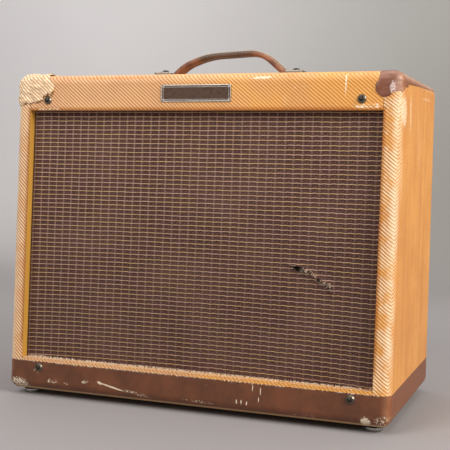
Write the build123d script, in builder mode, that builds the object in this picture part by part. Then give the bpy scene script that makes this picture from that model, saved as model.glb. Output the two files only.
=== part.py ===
from build123d import *

import os
from math import atan2, cos, radians, sin

# A small combo guitar amplifier: a cloth-covered pine cabinet that is open at the back,
# one twelve inch speaker on a removable baffle, and a valve amplifier hung under the top.
# Frame: X to the amplifier's left hand as seen from the front (right in a front view),
# Y towards the back, Z up. The origin is on the ground, under the middle of the cabinet.
# All sizes are in millimetres.

os.makedirs("parts", exist_ok=True)

# Cabinet
WIDTH = 508.0
BODY_HEIGHT = 410.0
DEPTH_BOTTOM = 256.0
DEPTH_TOP = 235.0
FOOT_HEIGHT = 8.0
EDGE_RADIUS = 12.0
BACK_RADIUS = 3.0
COVER = 1.0
BOARD = 19.0
FINGERS = 10

# Front: rails, baffle and cloth, by their height up the sloping front
RAIL = 9.5
BAFFLE = 9.5
CLOTH = 0.8
OPENING_LOW = 42.6
OPENING_HIGH = 365.4
WRAP_HEIGHT = 38.5
BAFFLE_LOW = 22.0
BAFFLE_HIGH = 388.5
BAFFLE_HALF_WIDTH = 232.0
SCREW_X = 207.5
SCREW_LOW = 31.0
SCREW_HIGH = 378.0

# Back
PANEL = 7.0
CLEAT = 19.0
UPPER_PANEL_LOW = 240.0
LOWER_PANEL_HIGH = 120.0
PANEL_HALF_WIDTH = 233.0
PANEL_SCREW_X = 224.5
PANEL_SCREW_Z = (45.0, 105.0, 258.0, 386.0)

# Fasteners
SCREW_RADIUS = 2.1
SCREW_HEAD_RADIUS = 3.2
WASHER_RADIUS = 5.4
WASHER_HEIGHT = 2.0
SCREW_LENGTH = 19.5
BOLT_RADIUS = 2.4
NUT_RADIUS = 4.6
HOLE_CLEARANCE = 0.15

# Name plate and corner patches
PLATE_WIDTH = 92.5
PLATE_HEIGHT = 21.0
PLATE_THICKNESS = 0.8
PLATE_UP = 385.9
PLATE_PIN_X = 43.4
PLATE_PIN_Y = 7.9
PIN_RADIUS = 0.8
PIN_LENGTH = 8.0
PATCH = 0.6
PATCH_BACK = 60.0

# Speaker
CUTOUT_RADIUS = 139.7
SPEAKER_UP = 205.0
BOLT_RING = 147.5
FLANGE_RADIUS = 153.5
GASKET = 2.5
SHEET = 1.4
MAGNET_RADIUS = 36.0

# Chassis and controls
CHASSIS_HALF_WIDTH = 189.0
CHASSIS_FRONT = 52.0
CHASSIS_LOW = 336.0
PANEL_DROP = 8.8
STEEL = 1.2
CONTROL_Y = 87.0
JACK_X = (162.0, 132.0, 102.0, 72.0)
KNOB_X = {"instrument_volume": 26.0, "microphone_volume": -20.0, "tone": -66.0}
SWITCH_X = -102.0
FUSE_X = -132.0
PILOT_X = -164.0
SHAFT_RADIUS = 3.175
BUSHING_RADIUS = 4.75
PLUG_BORE = 3.3

# Valves and transformers, under the chassis
OCTAL_X = (-68.0, -26.0, 16.0)
NOVAL_X = (115.0, 152.0)
CHASSIS_BOLT_X = 203.0
POWER_TRANSFORMER_X = -134.0
OUTPUT_TRANSFORMER_X = 67.0

# Handle
HANDLE_Y = 5.0
HANDLE_SCREW_X = 93.0
STRAP_WIDTH = 22.0
STRAP_THICKNESS = 6.5
TONGUE = 4.0

# Feet
FOOT_X = 231.0
FOOT_Y = (-102.0, 104.0)
GLIDE_RADIUS = 12.3
GLIDE_HEIGHT = 5.2
CUSHION_RADIUS = 11.0
NAIL_RADIUS = 1.2
NAIL_TOP = 24.0

# Derived
TOP = FOOT_HEIGHT + BODY_HEIGHT
BACK = DEPTH_BOTTOM / 2
INNER_X = WIDTH / 2 - COVER - BOARD
OPENING_X = INNER_X - COVER
TOP_UNDER = TOP - COVER - BOARD
FLOOR_TOP = FOOT_HEIGHT + COVER + BOARD
LEAN = atan2(DEPTH_BOTTOM - DEPTH_TOP, BODY_HEIGHT)
PANEL_INSIDE = BACK - COVER - PANEL
PANEL_TOP = TOP - PANEL_DROP
BAFFLE_FACE = COVER + RAIL + CLOTH
BAFFLE_REAR = BAFFLE_FACE + BAFFLE
FINGER = (DEPTH_BOTTOM - 2 * COVER) / FINGERS
FAR = 400.0

FRONT_SCREWS = [(x, y) for x in (-SCREW_X, SCREW_X) for y in (SCREW_LOW, SCREW_HIGH)]
PANEL_SCREWS = [(x, z) for x in (-PANEL_SCREW_X, PANEL_SCREW_X) for z in PANEL_SCREW_Z]
PLATE_PINS = [(x, PLATE_UP + y) for x in (-PLATE_PIN_X, PLATE_PIN_X) for y in (-PLATE_PIN_Y, PLATE_PIN_Y)]
HANDLE_SPOTS = [(-HANDLE_SCREW_X, HANDLE_Y), (HANDLE_SCREW_X, HANDLE_Y)]
CHASSIS_BOLTS = [(-CHASSIS_BOLT_X, CONTROL_Y), (CHASSIS_BOLT_X, CONTROL_Y)]
FOOT_SPOTS = [(x, y) for x in (-FOOT_X, FOOT_X) for y in FOOT_Y]

# The sloping front: its local x is the cabinet's X and its local y runs up the slope.
FRONT = Plane(origin=(0, -BACK, FOOT_HEIGHT), x_dir=(1, 0, 0), z_dir=(0, -cos(LEAN), sin(LEAN)))


def front_plane(depth):
    """The sloping front's plane, moved `depth` into the cabinet."""
    return FRONT.offset(-depth)


def speaker_plane(depth):
    """A plane facing back along the speaker's axis, `depth` behind the baffle."""
    seat = front_plane(BAFFLE_REAR)
    centre = seat.from_local_coords((0, SPEAKER_UP, -depth))
    return Plane(origin=centre, x_dir=(-1, 0, 0), z_dir=(0, cos(LEAN), -sin(LEAN)))


def outer_body(inset):
    """The cabinet's outer form, `inset` under its surface, with the edges rounded."""
    with BuildPart() as body:
        with BuildSketch(Plane.YZ):
            with BuildLine():
                Polyline(
                    (-BACK, FOOT_HEIGHT),
                    (BACK, FOOT_HEIGHT),
                    (BACK, TOP),
                    (BACK - DEPTH_TOP, TOP),
                    close=True,
                )
            make_face()
            if inset:
                offset(amount=-inset, kind=Kind.INTERSECTION)
        extrude(amount=WIDTH / 2 - inset, both=True)
        rear_edges = body.faces().sort_by(Axis.Y)[-1].edges()
        rear_places = [edge.center() for edge in rear_edges]
        front_and_sides = body.edges().filter_by(lambda e: e.center() not in rear_places)
        fillet(front_and_sides, radius=EDGE_RADIUS - inset)
        fillet(body.faces().sort_by(Axis.Y)[-1].edges(), radius=BACK_RADIUS - inset)
    return body.part


def head_sphere(radius, height):
    """The sphere radius of a dome of the given rim radius and height."""
    return (radius**2 + height**2) / (2 * height)


def save(piece, name):
    """Labels a finished piece and writes its STEP file."""
    piece.part.label = name
    export_step(piece.part, f"parts/{name}.step")


# ---------------------------------------------------------------- cabinet boards

CORE = outer_body(COVER)
OUTSIDE = outer_body(0)

FINGER_CENTRES = [BACK - COVER - FINGER * (n + 0.5) for n in range(FINGERS)]
CORNER_X = INNER_X + BOARD
CORNER_CENTRES = [(x, z) for x in (-CORNER_X, CORNER_X) for z in (TOP, FOOT_HEIGHT)]

with BuildPart() as side_fingers:
    with Locations(*[(x, y, z) for x, z in CORNER_CENTRES for y in FINGER_CENTRES[0::2]]):
        Box(2 * BOARD, FINGER, 2 * (BOARD + COVER))

with BuildPart() as board_fingers:
    with Locations(*[(x, y, z) for x, z in CORNER_CENTRES for y in FINGER_CENTRES[1::2]]):
        Box(2 * BOARD, FINGER, 2 * (BOARD + COVER))

with BuildPart() as cabinet_top:
    add(CORE)
    split(bisect_by=Plane.XY.offset(TOP_UNDER), keep=Keep.TOP)
    add(side_fingers.part, mode=Mode.SUBTRACT)
    with BuildSketch(Plane.XY.offset(TOP_UNDER)):
        with Locations((0, CHASSIS_FRONT - 2)):
            Rectangle(2 * CHASSIS_HALF_WIDTH + 4, FAR, align=(Align.CENTER, Align.MIN))
    extrude(amount=BOARD + COVER, mode=Mode.SUBTRACT)
    with Locations(Plane.XY.offset(TOP)):
        with Locations(*HANDLE_SPOTS, *CHASSIS_BOLTS):
            Hole(radius=BOLT_RADIUS + HOLE_CLEARANCE, depth=BOARD + COVER)
    with Locations(FRONT):
        with Locations(*PLATE_PINS):
            Hole(radius=PIN_RADIUS + HOLE_CLEARANCE, depth=PIN_LENGTH)
save(cabinet_top, "cabinet_top")

with BuildPart() as cabinet_bottom:
    add(CORE)
    split(bisect_by=Plane.XY.offset(FLOOR_TOP), keep=Keep.BOTTOM)
    add(side_fingers.part, mode=Mode.SUBTRACT)
    with Locations(Plane(origin=(0, 0, FOOT_HEIGHT), x_dir=(1, 0, 0), z_dir=(0, 0, -1))):
        with Locations(*[(x, -y) for x, y in FOOT_SPOTS]):
            Hole(radius=NAIL_RADIUS + HOLE_CLEARANCE, depth=NAIL_TOP - FOOT_HEIGHT)
save(cabinet_bottom, "cabinet_bottom")

with BuildPart() as cabinet_side_right:
    add(CORE)
    split(bisect_by=Plane.YZ.offset(INNER_X), keep=Keep.TOP)
    add(board_fingers.part, mode=Mode.SUBTRACT)
save(cabinet_side_right, "cabinet_side_right")

with BuildPart() as cabinet_side_left:
    mirror(cabinet_side_right.part, about=Plane.YZ)
save(cabinet_side_left, "cabinet_side_left")


def rail(low, high):
    """A front rail between the sides, from `low` to `high` up the front."""
    with BuildPart() as piece:
        with BuildSketch(front_plane(COVER)):
            with Locations((0, low)):
                Rectangle(2 * INNER_X, high - low, align=(Align.CENTER, Align.MIN))
        extrude(amount=-RAIL)
        split(bisect_by=Plane.XY.offset(TOP_UNDER), keep=Keep.BOTTOM)
        split(bisect_by=Plane.XY.offset(FLOOR_TOP), keep=Keep.TOP)
        with Locations(front_plane(COVER)):
            with Locations(*FRONT_SCREWS):
                Hole(radius=SCREW_RADIUS, depth=RAIL)
            with Locations(*PLATE_PINS):
                Hole(radius=PIN_RADIUS + HOLE_CLEARANCE, depth=PIN_LENGTH - COVER)
    return piece


front_top_rail = rail(OPENING_HIGH + COVER, BODY_HEIGHT)
save(front_top_rail, "front_top_rail")

front_bottom_rail = rail(0, OPENING_LOW - COVER)
save(front_bottom_rail, "front_bottom_rail")

with BuildPart() as back_cleats:
    for low, high in ((FLOOR_TOP, LOWER_PANEL_HIGH), (UPPER_PANEL_LOW, TOP_UNDER)):
        with BuildSketch(Plane.XY.offset(low)):
            with Locations(
                (INNER_X - CLEAT / 2, PANEL_INSIDE - CLEAT / 2),
                (-INNER_X + CLEAT / 2, PANEL_INSIDE - CLEAT / 2),
            ):
                Rectangle(CLEAT, CLEAT)
        extrude(amount=high - low)
    with Locations(Plane(origin=(0, PANEL_INSIDE, 0), x_dir=(-1, 0, 0), z_dir=(0, 1, 0))):
        with Locations(*PANEL_SCREWS):
            Hole(radius=SCREW_RADIUS, depth=CLEAT - 2)
save(back_cleats, "back_cleats")

# ---------------------------------------------------------------- front

with BuildPart() as baffle_board:
    with BuildSketch(front_plane(BAFFLE_FACE)):
        with Locations((0, (BAFFLE_LOW + BAFFLE_HIGH) / 2)):
            Rectangle(2 * BAFFLE_HALF_WIDTH, BAFFLE_HIGH - BAFFLE_LOW)
        with Locations((0, SPEAKER_UP)):
            Circle(CUTOUT_RADIUS, mode=Mode.SUBTRACT)
    extrude(amount=-BAFFLE)
    with Locations(front_plane(BAFFLE_FACE)):
        with Locations(*FRONT_SCREWS):
            Hole(radius=SCREW_RADIUS, depth=BAFFLE)
        with Locations((0, SPEAKER_UP)):
            with PolarLocations(BOLT_RING, 8, start_angle=22.5):
                CounterBoreHole(
                    radius=BOLT_RADIUS + HOLE_CLEARANCE,
                    counter_bore_radius=NUT_RADIUS + HOLE_CLEARANCE,
                    counter_bore_depth=2.2,
                    depth=BAFFLE,
                )
save(baffle_board, "baffle_board")

with BuildPart() as grille_cloth:
    with BuildSketch(front_plane(COVER + RAIL)):
        with Locations((0, (BAFFLE_LOW + BAFFLE_HIGH) / 2)):
            Rectangle(2 * BAFFLE_HALF_WIDTH, BAFFLE_HIGH - BAFFLE_LOW)
        with Locations(*FRONT_SCREWS):
            Circle(SCREW_RADIUS + 0.4, mode=Mode.SUBTRACT)
    extrude(amount=-CLOTH)
save(grille_cloth, "grille_cloth")


def covering(low_side):
    """The glued covering: the part below the wrap line, or the part above it."""
    with BuildPart() as skin:
        add(OUTSIDE)
        add(CORE, mode=Mode.SUBTRACT)
        with BuildSketch(Plane.XZ.offset(-BACK - COVER)):
            with Locations((0, (FLOOR_TOP + TOP_UNDER) / 2)):
                Rectangle(2 * INNER_X, TOP_UNDER - FLOOR_TOP)
        extrude(amount=4 * COVER, mode=Mode.SUBTRACT)
        with BuildSketch(FRONT):
            with Locations((0, (OPENING_LOW + OPENING_HIGH) / 2)):
                Rectangle(2 * OPENING_X, OPENING_HIGH - OPENING_LOW)
        extrude(amount=-2 * COVER, mode=Mode.SUBTRACT)
        # the covering turns into the grille's recess
        with BuildSketch(front_plane(COVER)):
            with Locations((0, (OPENING_LOW + OPENING_HIGH) / 2)):
                Rectangle(2 * INNER_X, OPENING_HIGH - OPENING_LOW + 2 * COVER)
                Rectangle(2 * OPENING_X, OPENING_HIGH - OPENING_LOW, mode=Mode.SUBTRACT)
        extrude(amount=-RAIL)
        # the notch over the control panel
        with BuildSketch(Plane.XY.offset(TOP_UNDER - COVER)):
            with Locations((0, CHASSIS_FRONT - 2)):
                Rectangle(2 * CHASSIS_HALF_WIDTH + 4, FAR, align=(Align.CENTER, Align.MIN))
        extrude(amount=BOARD + 4 * COVER, mode=Mode.SUBTRACT)
        with Locations(Plane.XY.offset(TOP)):
            with Locations(*HANDLE_SPOTS, *CHASSIS_BOLTS):
                Hole(radius=BOLT_RADIUS + HOLE_CLEARANCE, depth=2 * COVER)
        with Locations(FRONT):
            with Locations(*FRONT_SCREWS):
                Hole(radius=SCREW_RADIUS, depth=2 * COVER)
            with Locations(*PLATE_PINS):
                Hole(radius=PIN_RADIUS + HOLE_CLEARANCE, depth=2 * COVER)
        with Locations(Plane.XY.offset(FOOT_HEIGHT + 2 * COVER)):
            with Locations(*FOOT_SPOTS):
                Hole(radius=NAIL_RADIUS + HOLE_CLEARANCE, depth=3 * COVER)
        line = Plane.XY.offset(FOOT_HEIGHT + WRAP_HEIGHT)
        split(bisect_by=line, keep=Keep.BOTTOM if low_side else Keep.TOP)
    return skin


tweed_cover = covering(low_side=False)
save(tweed_cover, "tweed_cover")

leatherette_wrap = covering(low_side=True)
save(leatherette_wrap, "leatherette_wrap")

# ---------------------------------------------------------------- corner patches

with BuildPart() as patch_layer:
    add(outer_body(-PATCH))
    add(OUTSIDE, mode=Mode.SUBTRACT)

PATCH_FRONT = Plane.XZ.offset(BACK + 5)

with BuildPart() as corner_patch_right:
    with BuildSketch(PATCH_FRONT):
        with Locations((234, 398.8)):
            Circle(11.6)
        with Locations((226.5, 400)):
            Rectangle(40, 30, align=(Align.MIN, Align.MIN))
    extrude(amount=-PATCH_BACK)
    with BuildSketch(Plane.YZ.offset(WIDTH / 2 - EDGE_RADIUS)):
        with BuildLine():
            Polyline(
                (-BACK, 391.5),
                (-100, 393.5),
                (-88, 403.5),
                (6, 407.8),
                (BACK + 5, 411),
                (BACK + 5, TOP + 5),
                (-BACK, TOP + 5),
                close=True,
            )
        make_face()
    extrude(amount=2 * EDGE_RADIUS)
    add(patch_layer.part, mode=Mode.INTERSECT)
save(corner_patch_right, "corner_patch_right")

with BuildPart() as corner_patch_left:
    with BuildSketch(PATCH_FRONT):
        with BuildLine():
            Polyline(
                (-206, TOP + 5),
                (-206, 414.5),
                (-198, 405.5),
                (-198.5, 394),
                (-204, 390.5),
                (-220, 382.5),
                (-260, 376),
                (-260, TOP + 5),
                close=True,
            )
        make_face()
    extrude(amount=-PATCH_BACK)
    add(patch_layer.part, mode=Mode.INTERSECT)
    with BuildSketch(front_plane(COVER)):
        with Locations(*FRONT_SCREWS):
            Circle(WASHER_RADIUS + 0.2)
    extrude(amount=4 * COVER, mode=Mode.SUBTRACT)
save(corner_patch_left, "corner_patch_left")

# ---------------------------------------------------------------- cabinet fasteners

BACK_FACE = Plane(origin=(0, BACK - COVER, 0), x_dir=(-1, 0, 0), z_dir=(0, 1, 0))
SCREW_PLACES = [FRONT.location * Location((x, y, 0)) for x, y in FRONT_SCREWS]
SCREW_PLACES += [BACK_FACE.location * Location((x, z, 0)) for x, z in PANEL_SCREWS]

with BuildPart() as screw_shape:
    with BuildSketch(Plane.XZ):
        with BuildLine():
            Polyline(
                (0, -SCREW_LENGTH),
                (SCREW_RADIUS - 0.1, -SCREW_LENGTH + 3),
                (SCREW_RADIUS - 0.1, 0.4),
                (SCREW_HEAD_RADIUS, WASHER_HEIGHT),
            )
            RadiusArc((SCREW_HEAD_RADIUS, WASHER_HEIGHT), (0, 3.1), -head_sphere(SCREW_HEAD_RADIUS, 1.1))
            Line((0, 3.1), (0, -SCREW_LENGTH))
        make_face()
    revolve(axis=Axis.Z)

with BuildPart() as washer_shape:
    with BuildSketch(Plane.XZ):
        with BuildLine():
            Polyline(
                (SCREW_RADIUS, 0),
                (WASHER_RADIUS, 0),
                (WASHER_RADIUS, 0.5),
                (SCREW_HEAD_RADIUS + 0.9, WASHER_HEIGHT),
                (SCREW_HEAD_RADIUS + 0.08, WASHER_HEIGHT),
                (SCREW_RADIUS, 0.42),
                close=True,
            )
        make_face()
    revolve(axis=Axis.Z)

with BuildPart() as cabinet_screws:
    with Locations(*SCREW_PLACES):
        add(screw_shape.part)
save(cabinet_screws, "cabinet_screws")

with BuildPart() as finishing_washers:
    with Locations(*SCREW_PLACES):
        add(washer_shape.part)
save(finishing_washers, "finishing_washers")

with BuildPart() as name_plate:
    with BuildSketch(FRONT):
        with Locations((0, PLATE_UP)):
            RectangleRounded(PLATE_WIDTH, PLATE_HEIGHT, 1.2)
        with Locations(*PLATE_PINS):
            Circle(PIN_RADIUS + HOLE_CLEARANCE, mode=Mode.SUBTRACT)
    extrude(amount=PLATE_THICKNESS)
save(name_plate, "name_plate")

with BuildPart() as name_plate_pins:
    with BuildSketch(front_plane(PIN_LENGTH - COVER)):
        with Locations(*PLATE_PINS):
            Circle(PIN_RADIUS)
    extrude(amount=PIN_LENGTH - COVER + PLATE_THICKNESS)
    with BuildSketch(front_plane(-PLATE_THICKNESS)):
        with Locations(*PLATE_PINS):
            Circle(1.5)
    extrude(amount=0.7, taper=30)
save(name_plate_pins, "name_plate_pins")

# ---------------------------------------------------------------- handle

HANDLE_PLANE = Plane.XZ.offset(-HANDLE_Y)

with BuildPart() as handle_strap:
    with BuildLine(HANDLE_PLANE) as strap_path:
        FilletPolyline(
            (-80, TOP + 4),
            (-61, TOP + 21),
            (-28, TOP + 32.7),
            (47, TOP + 36.3),
            (85, TOP + 4),
            radius=(60, 110, 45),
        )
    start = strap_path.line @ 0
    with BuildSketch(Plane(origin=start, x_dir=(0, 1, 0), z_dir=strap_path.line % 0)):
        RectangleRounded(STRAP_WIDTH, STRAP_THICKNESS, 2.8)
    sweep(path=strap_path.line)
    # the flat tongues under the end brackets
    with BuildSketch(Plane.XY.offset(TOP + 2)):
        with Locations((-91, HANDLE_Y), (91, HANDLE_Y)):
            RectangleRounded(20, STRAP_WIDTH - 2, 4)
    extrude(amount=TONGUE)
    with Locations(Plane.XY.offset(TOP + 2 + TONGUE)):
        with Locations(*HANDLE_SPOTS):
            Hole(radius=BOLT_RADIUS + 0.6, depth=TONGUE)
save(handle_strap, "handle_strap")

BRACKET_HEIGHT = 12.5
BRACKET_SHEET = 1.5

with BuildPart() as handle_brackets:
    for side in (-1, 1):
        with BuildSketch(Plane.XY.offset(TOP)):
            with Locations((side * 92.5, HANDLE_Y)):
                RectangleRounded(24, STRAP_WIDTH + 5, 3)
        extrude(amount=BRACKET_HEIGHT)
    outside_edges = edges().group_by(Axis.Z)[-1]
    fillet(outside_edges, radius=1.4)
    for side in (-1, 1):
        with BuildSketch(Plane.XY.offset(TOP)):
            with Locations((side * (92.5 - BRACKET_SHEET), HANDLE_Y)):
                Rectangle(24, STRAP_WIDTH + 2)
        extrude(amount=BRACKET_HEIGHT - BRACKET_SHEET, mode=Mode.SUBTRACT)
        with BuildSketch(Plane.XY.offset(TOP + 2)):
            with Locations((side * 82, HANDLE_Y)):
                Rectangle(9, STRAP_WIDTH + 2)
        extrude(amount=BRACKET_HEIGHT, mode=Mode.SUBTRACT)
    with Locations(Plane.XY.offset(TOP + BRACKET_HEIGHT)):
        with Locations(*HANDLE_SPOTS):
            Hole(radius=BOLT_RADIUS + HOLE_CLEARANCE, depth=BRACKET_HEIGHT)
save(handle_brackets, "handle_brackets")


def bolt_and_nut(grip, nut_gap, head_radius, head_height):
    """A domed bolt standing on z = 0 whose nut starts `nut_gap` under the head's seat."""
    with BuildPart() as bolt:
        with BuildSketch():
            Circle(BOLT_RADIUS)
        extrude(amount=-grip)
        with BuildSketch():
            Circle(head_radius)
        extrude(amount=head_height)
        fillet(bolt.edges().group_by(Axis.Z)[-1], radius=head_height * 0.8)
    with BuildPart() as nut:
        with BuildSketch(Plane.XY.offset(-nut_gap)):
            RegularPolygon(NUT_RADIUS, 6)
            Circle(BOLT_RADIUS + 0.05, mode=Mode.SUBTRACT)
        extrude(amount=-4)
    return Compound(children=[bolt.part, nut.part])


HANDLE_BOLT = bolt_and_nut(BRACKET_HEIGHT + BOARD + COVER + 6, BRACKET_HEIGHT + BOARD + COVER, 4.6, 3.2)
with BuildPart() as handle_bolts:
    with Locations(Plane.XY.offset(TOP + BRACKET_HEIGHT)):
        with Locations(*HANDLE_SPOTS):
            add(HANDLE_BOLT)
save(handle_bolts, "handle_bolts")

# ---------------------------------------------------------------- feet

with BuildPart() as foot_glides:
    for x, y in FOOT_SPOTS:
        with BuildSketch(Plane(origin=(x, y, 0), x_dir=(1, 0, 0), z_dir=(0, -1, 0))):
            with BuildLine():
                Line((0, 0), (6.5, 0))
                ThreePointArc((6.5, 0), (11, 1.6), (GLIDE_RADIUS, GLIDE_HEIGHT - 1))
                Polyline(
                    (GLIDE_RADIUS, GLIDE_HEIGHT - 1),
                    (GLIDE_RADIUS, GLIDE_HEIGHT),
                    (NAIL_RADIUS, GLIDE_HEIGHT),
                    (NAIL_RADIUS, NAIL_TOP - 3),
                    (0, NAIL_TOP),
                    (0, 0),
                )
            make_face()
        revolve(axis=Axis((x, y, 0), (0, 0, 1)))
save(foot_glides, "foot_glides")

with BuildPart() as foot_cushions:
    with BuildSketch(Plane.XY.offset(GLIDE_HEIGHT)):
        with Locations(*FOOT_SPOTS):
            Circle(CUSHION_RADIUS)
            Circle(NAIL_RADIUS + HOLE_CLEARANCE, mode=Mode.SUBTRACT)
    extrude(amount=FOOT_HEIGHT - GLIDE_HEIGHT)
save(foot_cushions, "foot_cushions")

# ---------------------------------------------------------------- back panels


def back_panel(low, high, tab):
    """A removable back panel between two heights, with a tab under the control well."""
    with BuildPart() as piece:
        with BuildSketch(Plane(origin=(0, PANEL_INSIDE, 0), x_dir=(-1, 0, 0), z_dir=(0, 1, 0))):
            with Locations((0, low)):
                Rectangle(2 * PANEL_HALF_WIDTH, high - low, align=(Align.CENTER, Align.MIN))
            if tab:
                with Locations((0, high)):
                    Rectangle(2 * CHASSIS_HALF_WIDTH, tab, align=(Align.CENTER, Align.MIN))
            with Locations(*[(x, z) for x, z in PANEL_SCREWS if low < z < high]):
                Circle(SCREW_RADIUS, mode=Mode.SUBTRACT)
        extrude(amount=PANEL)
    return piece


back_panel_upper = back_panel(UPPER_PANEL_LOW, TOP_UNDER - 0.5, BOARD - 0.5)
save(back_panel_upper, "back_panel_upper")

back_panel_lower = back_panel(FLOOR_TOP + 0.5, LOWER_PANEL_HIGH, 0)
save(back_panel_lower, "back_panel_lower")

# ---------------------------------------------------------------- chassis

CHASSIS_DEPTH = PANEL_INSIDE - 0.5 - CHASSIS_FRONT
CHASSIS_Y = CHASSIS_FRONT + CHASSIS_DEPTH / 2
CHASSIS_HEIGHT = PANEL_TOP - CHASSIS_LOW
CHASSIS_FLOOR = CHASSIS_LOW + STEEL
EAR_LENGTH = 25.0
GROMMET_SPOT = (-CHASSIS_HALF_WIDTH, 100.0, 352.0)
GROMMET_HOLE = 7.0
SOCKET_RADIUS = 14.2
SMALL_SOCKET_RADIUS = 10.5
SWITCH_BUSHING = 5.9
FUSE_RADIUS = 7.0
PILOT_RADIUS = 7.5
CONTROL_HOLES = [(x, BUSHING_RADIUS) for x in (*JACK_X, *KNOB_X.values())]
CONTROL_HOLES += [(SWITCH_X, SWITCH_BUSHING), (FUSE_X, FUSE_RADIUS), (PILOT_X, PILOT_RADIUS)]
FLOOR_HOLES = [(x, SOCKET_RADIUS) for x in OCTAL_X] + [(x, SMALL_SOCKET_RADIUS) for x in NOVAL_X]

with BuildPart() as chassis:
    with Locations((0, CHASSIS_Y, CHASSIS_LOW + CHASSIS_HEIGHT / 2)):
        Box(2 * CHASSIS_HALF_WIDTH, CHASSIS_DEPTH, CHASSIS_HEIGHT)
    offset(amount=-STEEL, openings=chassis.faces().sort_by(Axis.Y)[-1])
    with BuildSketch(Plane.XY.offset(TOP_UNDER - STEEL)):
        for side in (-1, 1):
            with Locations((side * (CHASSIS_HALF_WIDTH + EAR_LENGTH / 2 - STEEL), CONTROL_Y)):
                Rectangle(EAR_LENGTH, 48)
        with Locations(*CHASSIS_BOLTS):
            Circle(BOLT_RADIUS + HOLE_CLEARANCE, mode=Mode.SUBTRACT)
    extrude(amount=STEEL)
    for x, radius in CONTROL_HOLES:
        with Locations((x, CONTROL_Y, PANEL_TOP)):
            Hole(radius=radius + HOLE_CLEARANCE, depth=2 * STEEL)
    for x, radius in FLOOR_HOLES:
        with Locations((x, CONTROL_Y, CHASSIS_FLOOR)):
            Hole(radius=radius + HOLE_CLEARANCE, depth=STEEL)
    with Locations(Plane(origin=GROMMET_SPOT, x_dir=(0, 1, 0), z_dir=(-1, 0, 0))):
        Hole(radius=GROMMET_HOLE + 0.05, depth=2 * STEEL)
save(chassis, "chassis")

CHASSIS_BOLT = bolt_and_nut(BOARD + COVER + STEEL + 6, BOARD + COVER + STEEL, 5.0, 2.6)
with BuildPart() as chassis_bolts:
    with Locations(Plane.XY.offset(TOP)):
        with Locations(*CHASSIS_BOLTS):
            add(CHASSIS_BOLT)
save(chassis_bolts, "chassis_bolts")

GROMMET_BORE = 4.6
GROMMET_LENGTH = 6.0

with BuildPart() as mains_grommet:
    grommet_plane = Plane(origin=GROMMET_SPOT, x_dir=(0, 1, 0), z_dir=(1, 0, 0))
    with BuildSketch(grommet_plane.offset(-(GROMMET_LENGTH - STEEL) / 2)):
        Circle(9.5)
    extrude(amount=GROMMET_LENGTH)
    fillet(mains_grommet.edges(), radius=1.2)
    with BuildSketch(grommet_plane):
        Circle(12)
        Circle(GROMMET_HOLE, mode=Mode.SUBTRACT)
    extrude(amount=STEEL, mode=Mode.SUBTRACT)
    with BuildSketch(grommet_plane.offset(-GROMMET_LENGTH)):
        Circle(GROMMET_BORE)
    extrude(amount=2 * GROMMET_LENGTH, mode=Mode.SUBTRACT)
save(mains_grommet, "mains_grommet")

# ---------------------------------------------------------------- controls

NUT_TOP = PANEL_TOP + 2.4
BUSHING_TOP = PANEL_TOP + 3.2
PANEL_UNDER = PANEL_TOP - STEEL
KNOB_LOW = BUSHING_TOP + 0.6
KNOB_HEIGHT = 15.0
POT_LOW = PANEL_UNDER - 11.0
SHAFT_CLEARANCE = 0.05


def upright(x, z):
    """A level plane over a control at `x`, at the height `z`."""
    return Plane.XY.offset(z).shift_origin((x, CONTROL_Y, z))


def hex_nut(x, flats, hole):
    """A thin hexagon nut lying on the control panel."""
    with BuildPart() as nut:
        with BuildSketch(upright(x, PANEL_TOP)):
            RegularPolygon(flats / 2, 6, major_radius=False)
            Circle(hole + 0.05, mode=Mode.SUBTRACT)
        extrude(amount=NUT_TOP - PANEL_TOP)
    return nut.part


with BuildPart() as panel_nuts:
    for x in (*JACK_X, *KNOB_X.values()):
        add(hex_nut(x, 12.7, BUSHING_RADIUS))
    add(hex_nut(SWITCH_X, 15.0, SWITCH_BUSHING))
save(panel_nuts, "panel_nuts")


def shaft(x):
    """A volume or tone control's turning shaft."""
    with BuildPart() as piece:
        with BuildSketch(upright(x, POT_LOW + 2)):
            Circle(SHAFT_RADIUS)
        extrude(amount=KNOB_LOW + 11 - POT_LOW - 2)
        chamfer(piece.edges().group_by(Axis.Z)[-1], length=0.4)
    return piece


def pointer_knob(x):
    """A moulded pointer knob: a round skirt with a tapered beak across it."""
    with BuildPart() as piece:
        with BuildSketch(upright(x, KNOB_LOW)):
            Circle(10.5)
        extrude(amount=4)
        fillet(piece.edges().group_by(Axis.Z)[-1], radius=1.2)
        with BuildSketch(upright(x, KNOB_LOW)) as beak_foot:
            with BuildLine():
                Polyline((-5.4, 9), (-4.8, -6), (-2.0, -18.5), (2.0, -18.5), (4.8, -6), (5.4, 9), close=True)
            make_face()
            fillet(beak_foot.vertices(), radius=1.0)
        extrude(amount=KNOB_HEIGHT, taper=4)
        with BuildSketch(upright(x, KNOB_LOW)):
            Circle(SHAFT_RADIUS + 0.03)
        extrude(amount=11.5, mode=Mode.SUBTRACT)
    return piece


for knob_name, knob_x in KNOB_X.items():
    save(shaft(knob_x), f"{knob_name}_shaft")
    save(pointer_knob(knob_x), f"{knob_name}_knob")

with BuildPart() as potentiometers:
    for knob_x in KNOB_X.values():
        with BuildSketch(upright(knob_x, POT_LOW)):
            Circle(12)
        extrude(amount=PANEL_UNDER - POT_LOW)
        with BuildSketch(upright(knob_x, PANEL_UNDER)):
            Circle(BUSHING_RADIUS)
        extrude(amount=BUSHING_TOP - PANEL_UNDER)
        with Locations((knob_x, CONTROL_Y + 13, POT_LOW + 1)):
            with GridLocations(6, 0, 3, 1):
                Box(2.4, 8, 0.8)
        with BuildSketch(upright(knob_x, POT_LOW + 1.5)):
            Circle(SHAFT_RADIUS + SHAFT_CLEARANCE)
        extrude(amount=BUSHING_TOP, mode=Mode.SUBTRACT)
save(potentiometers, "potentiometers")

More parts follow.
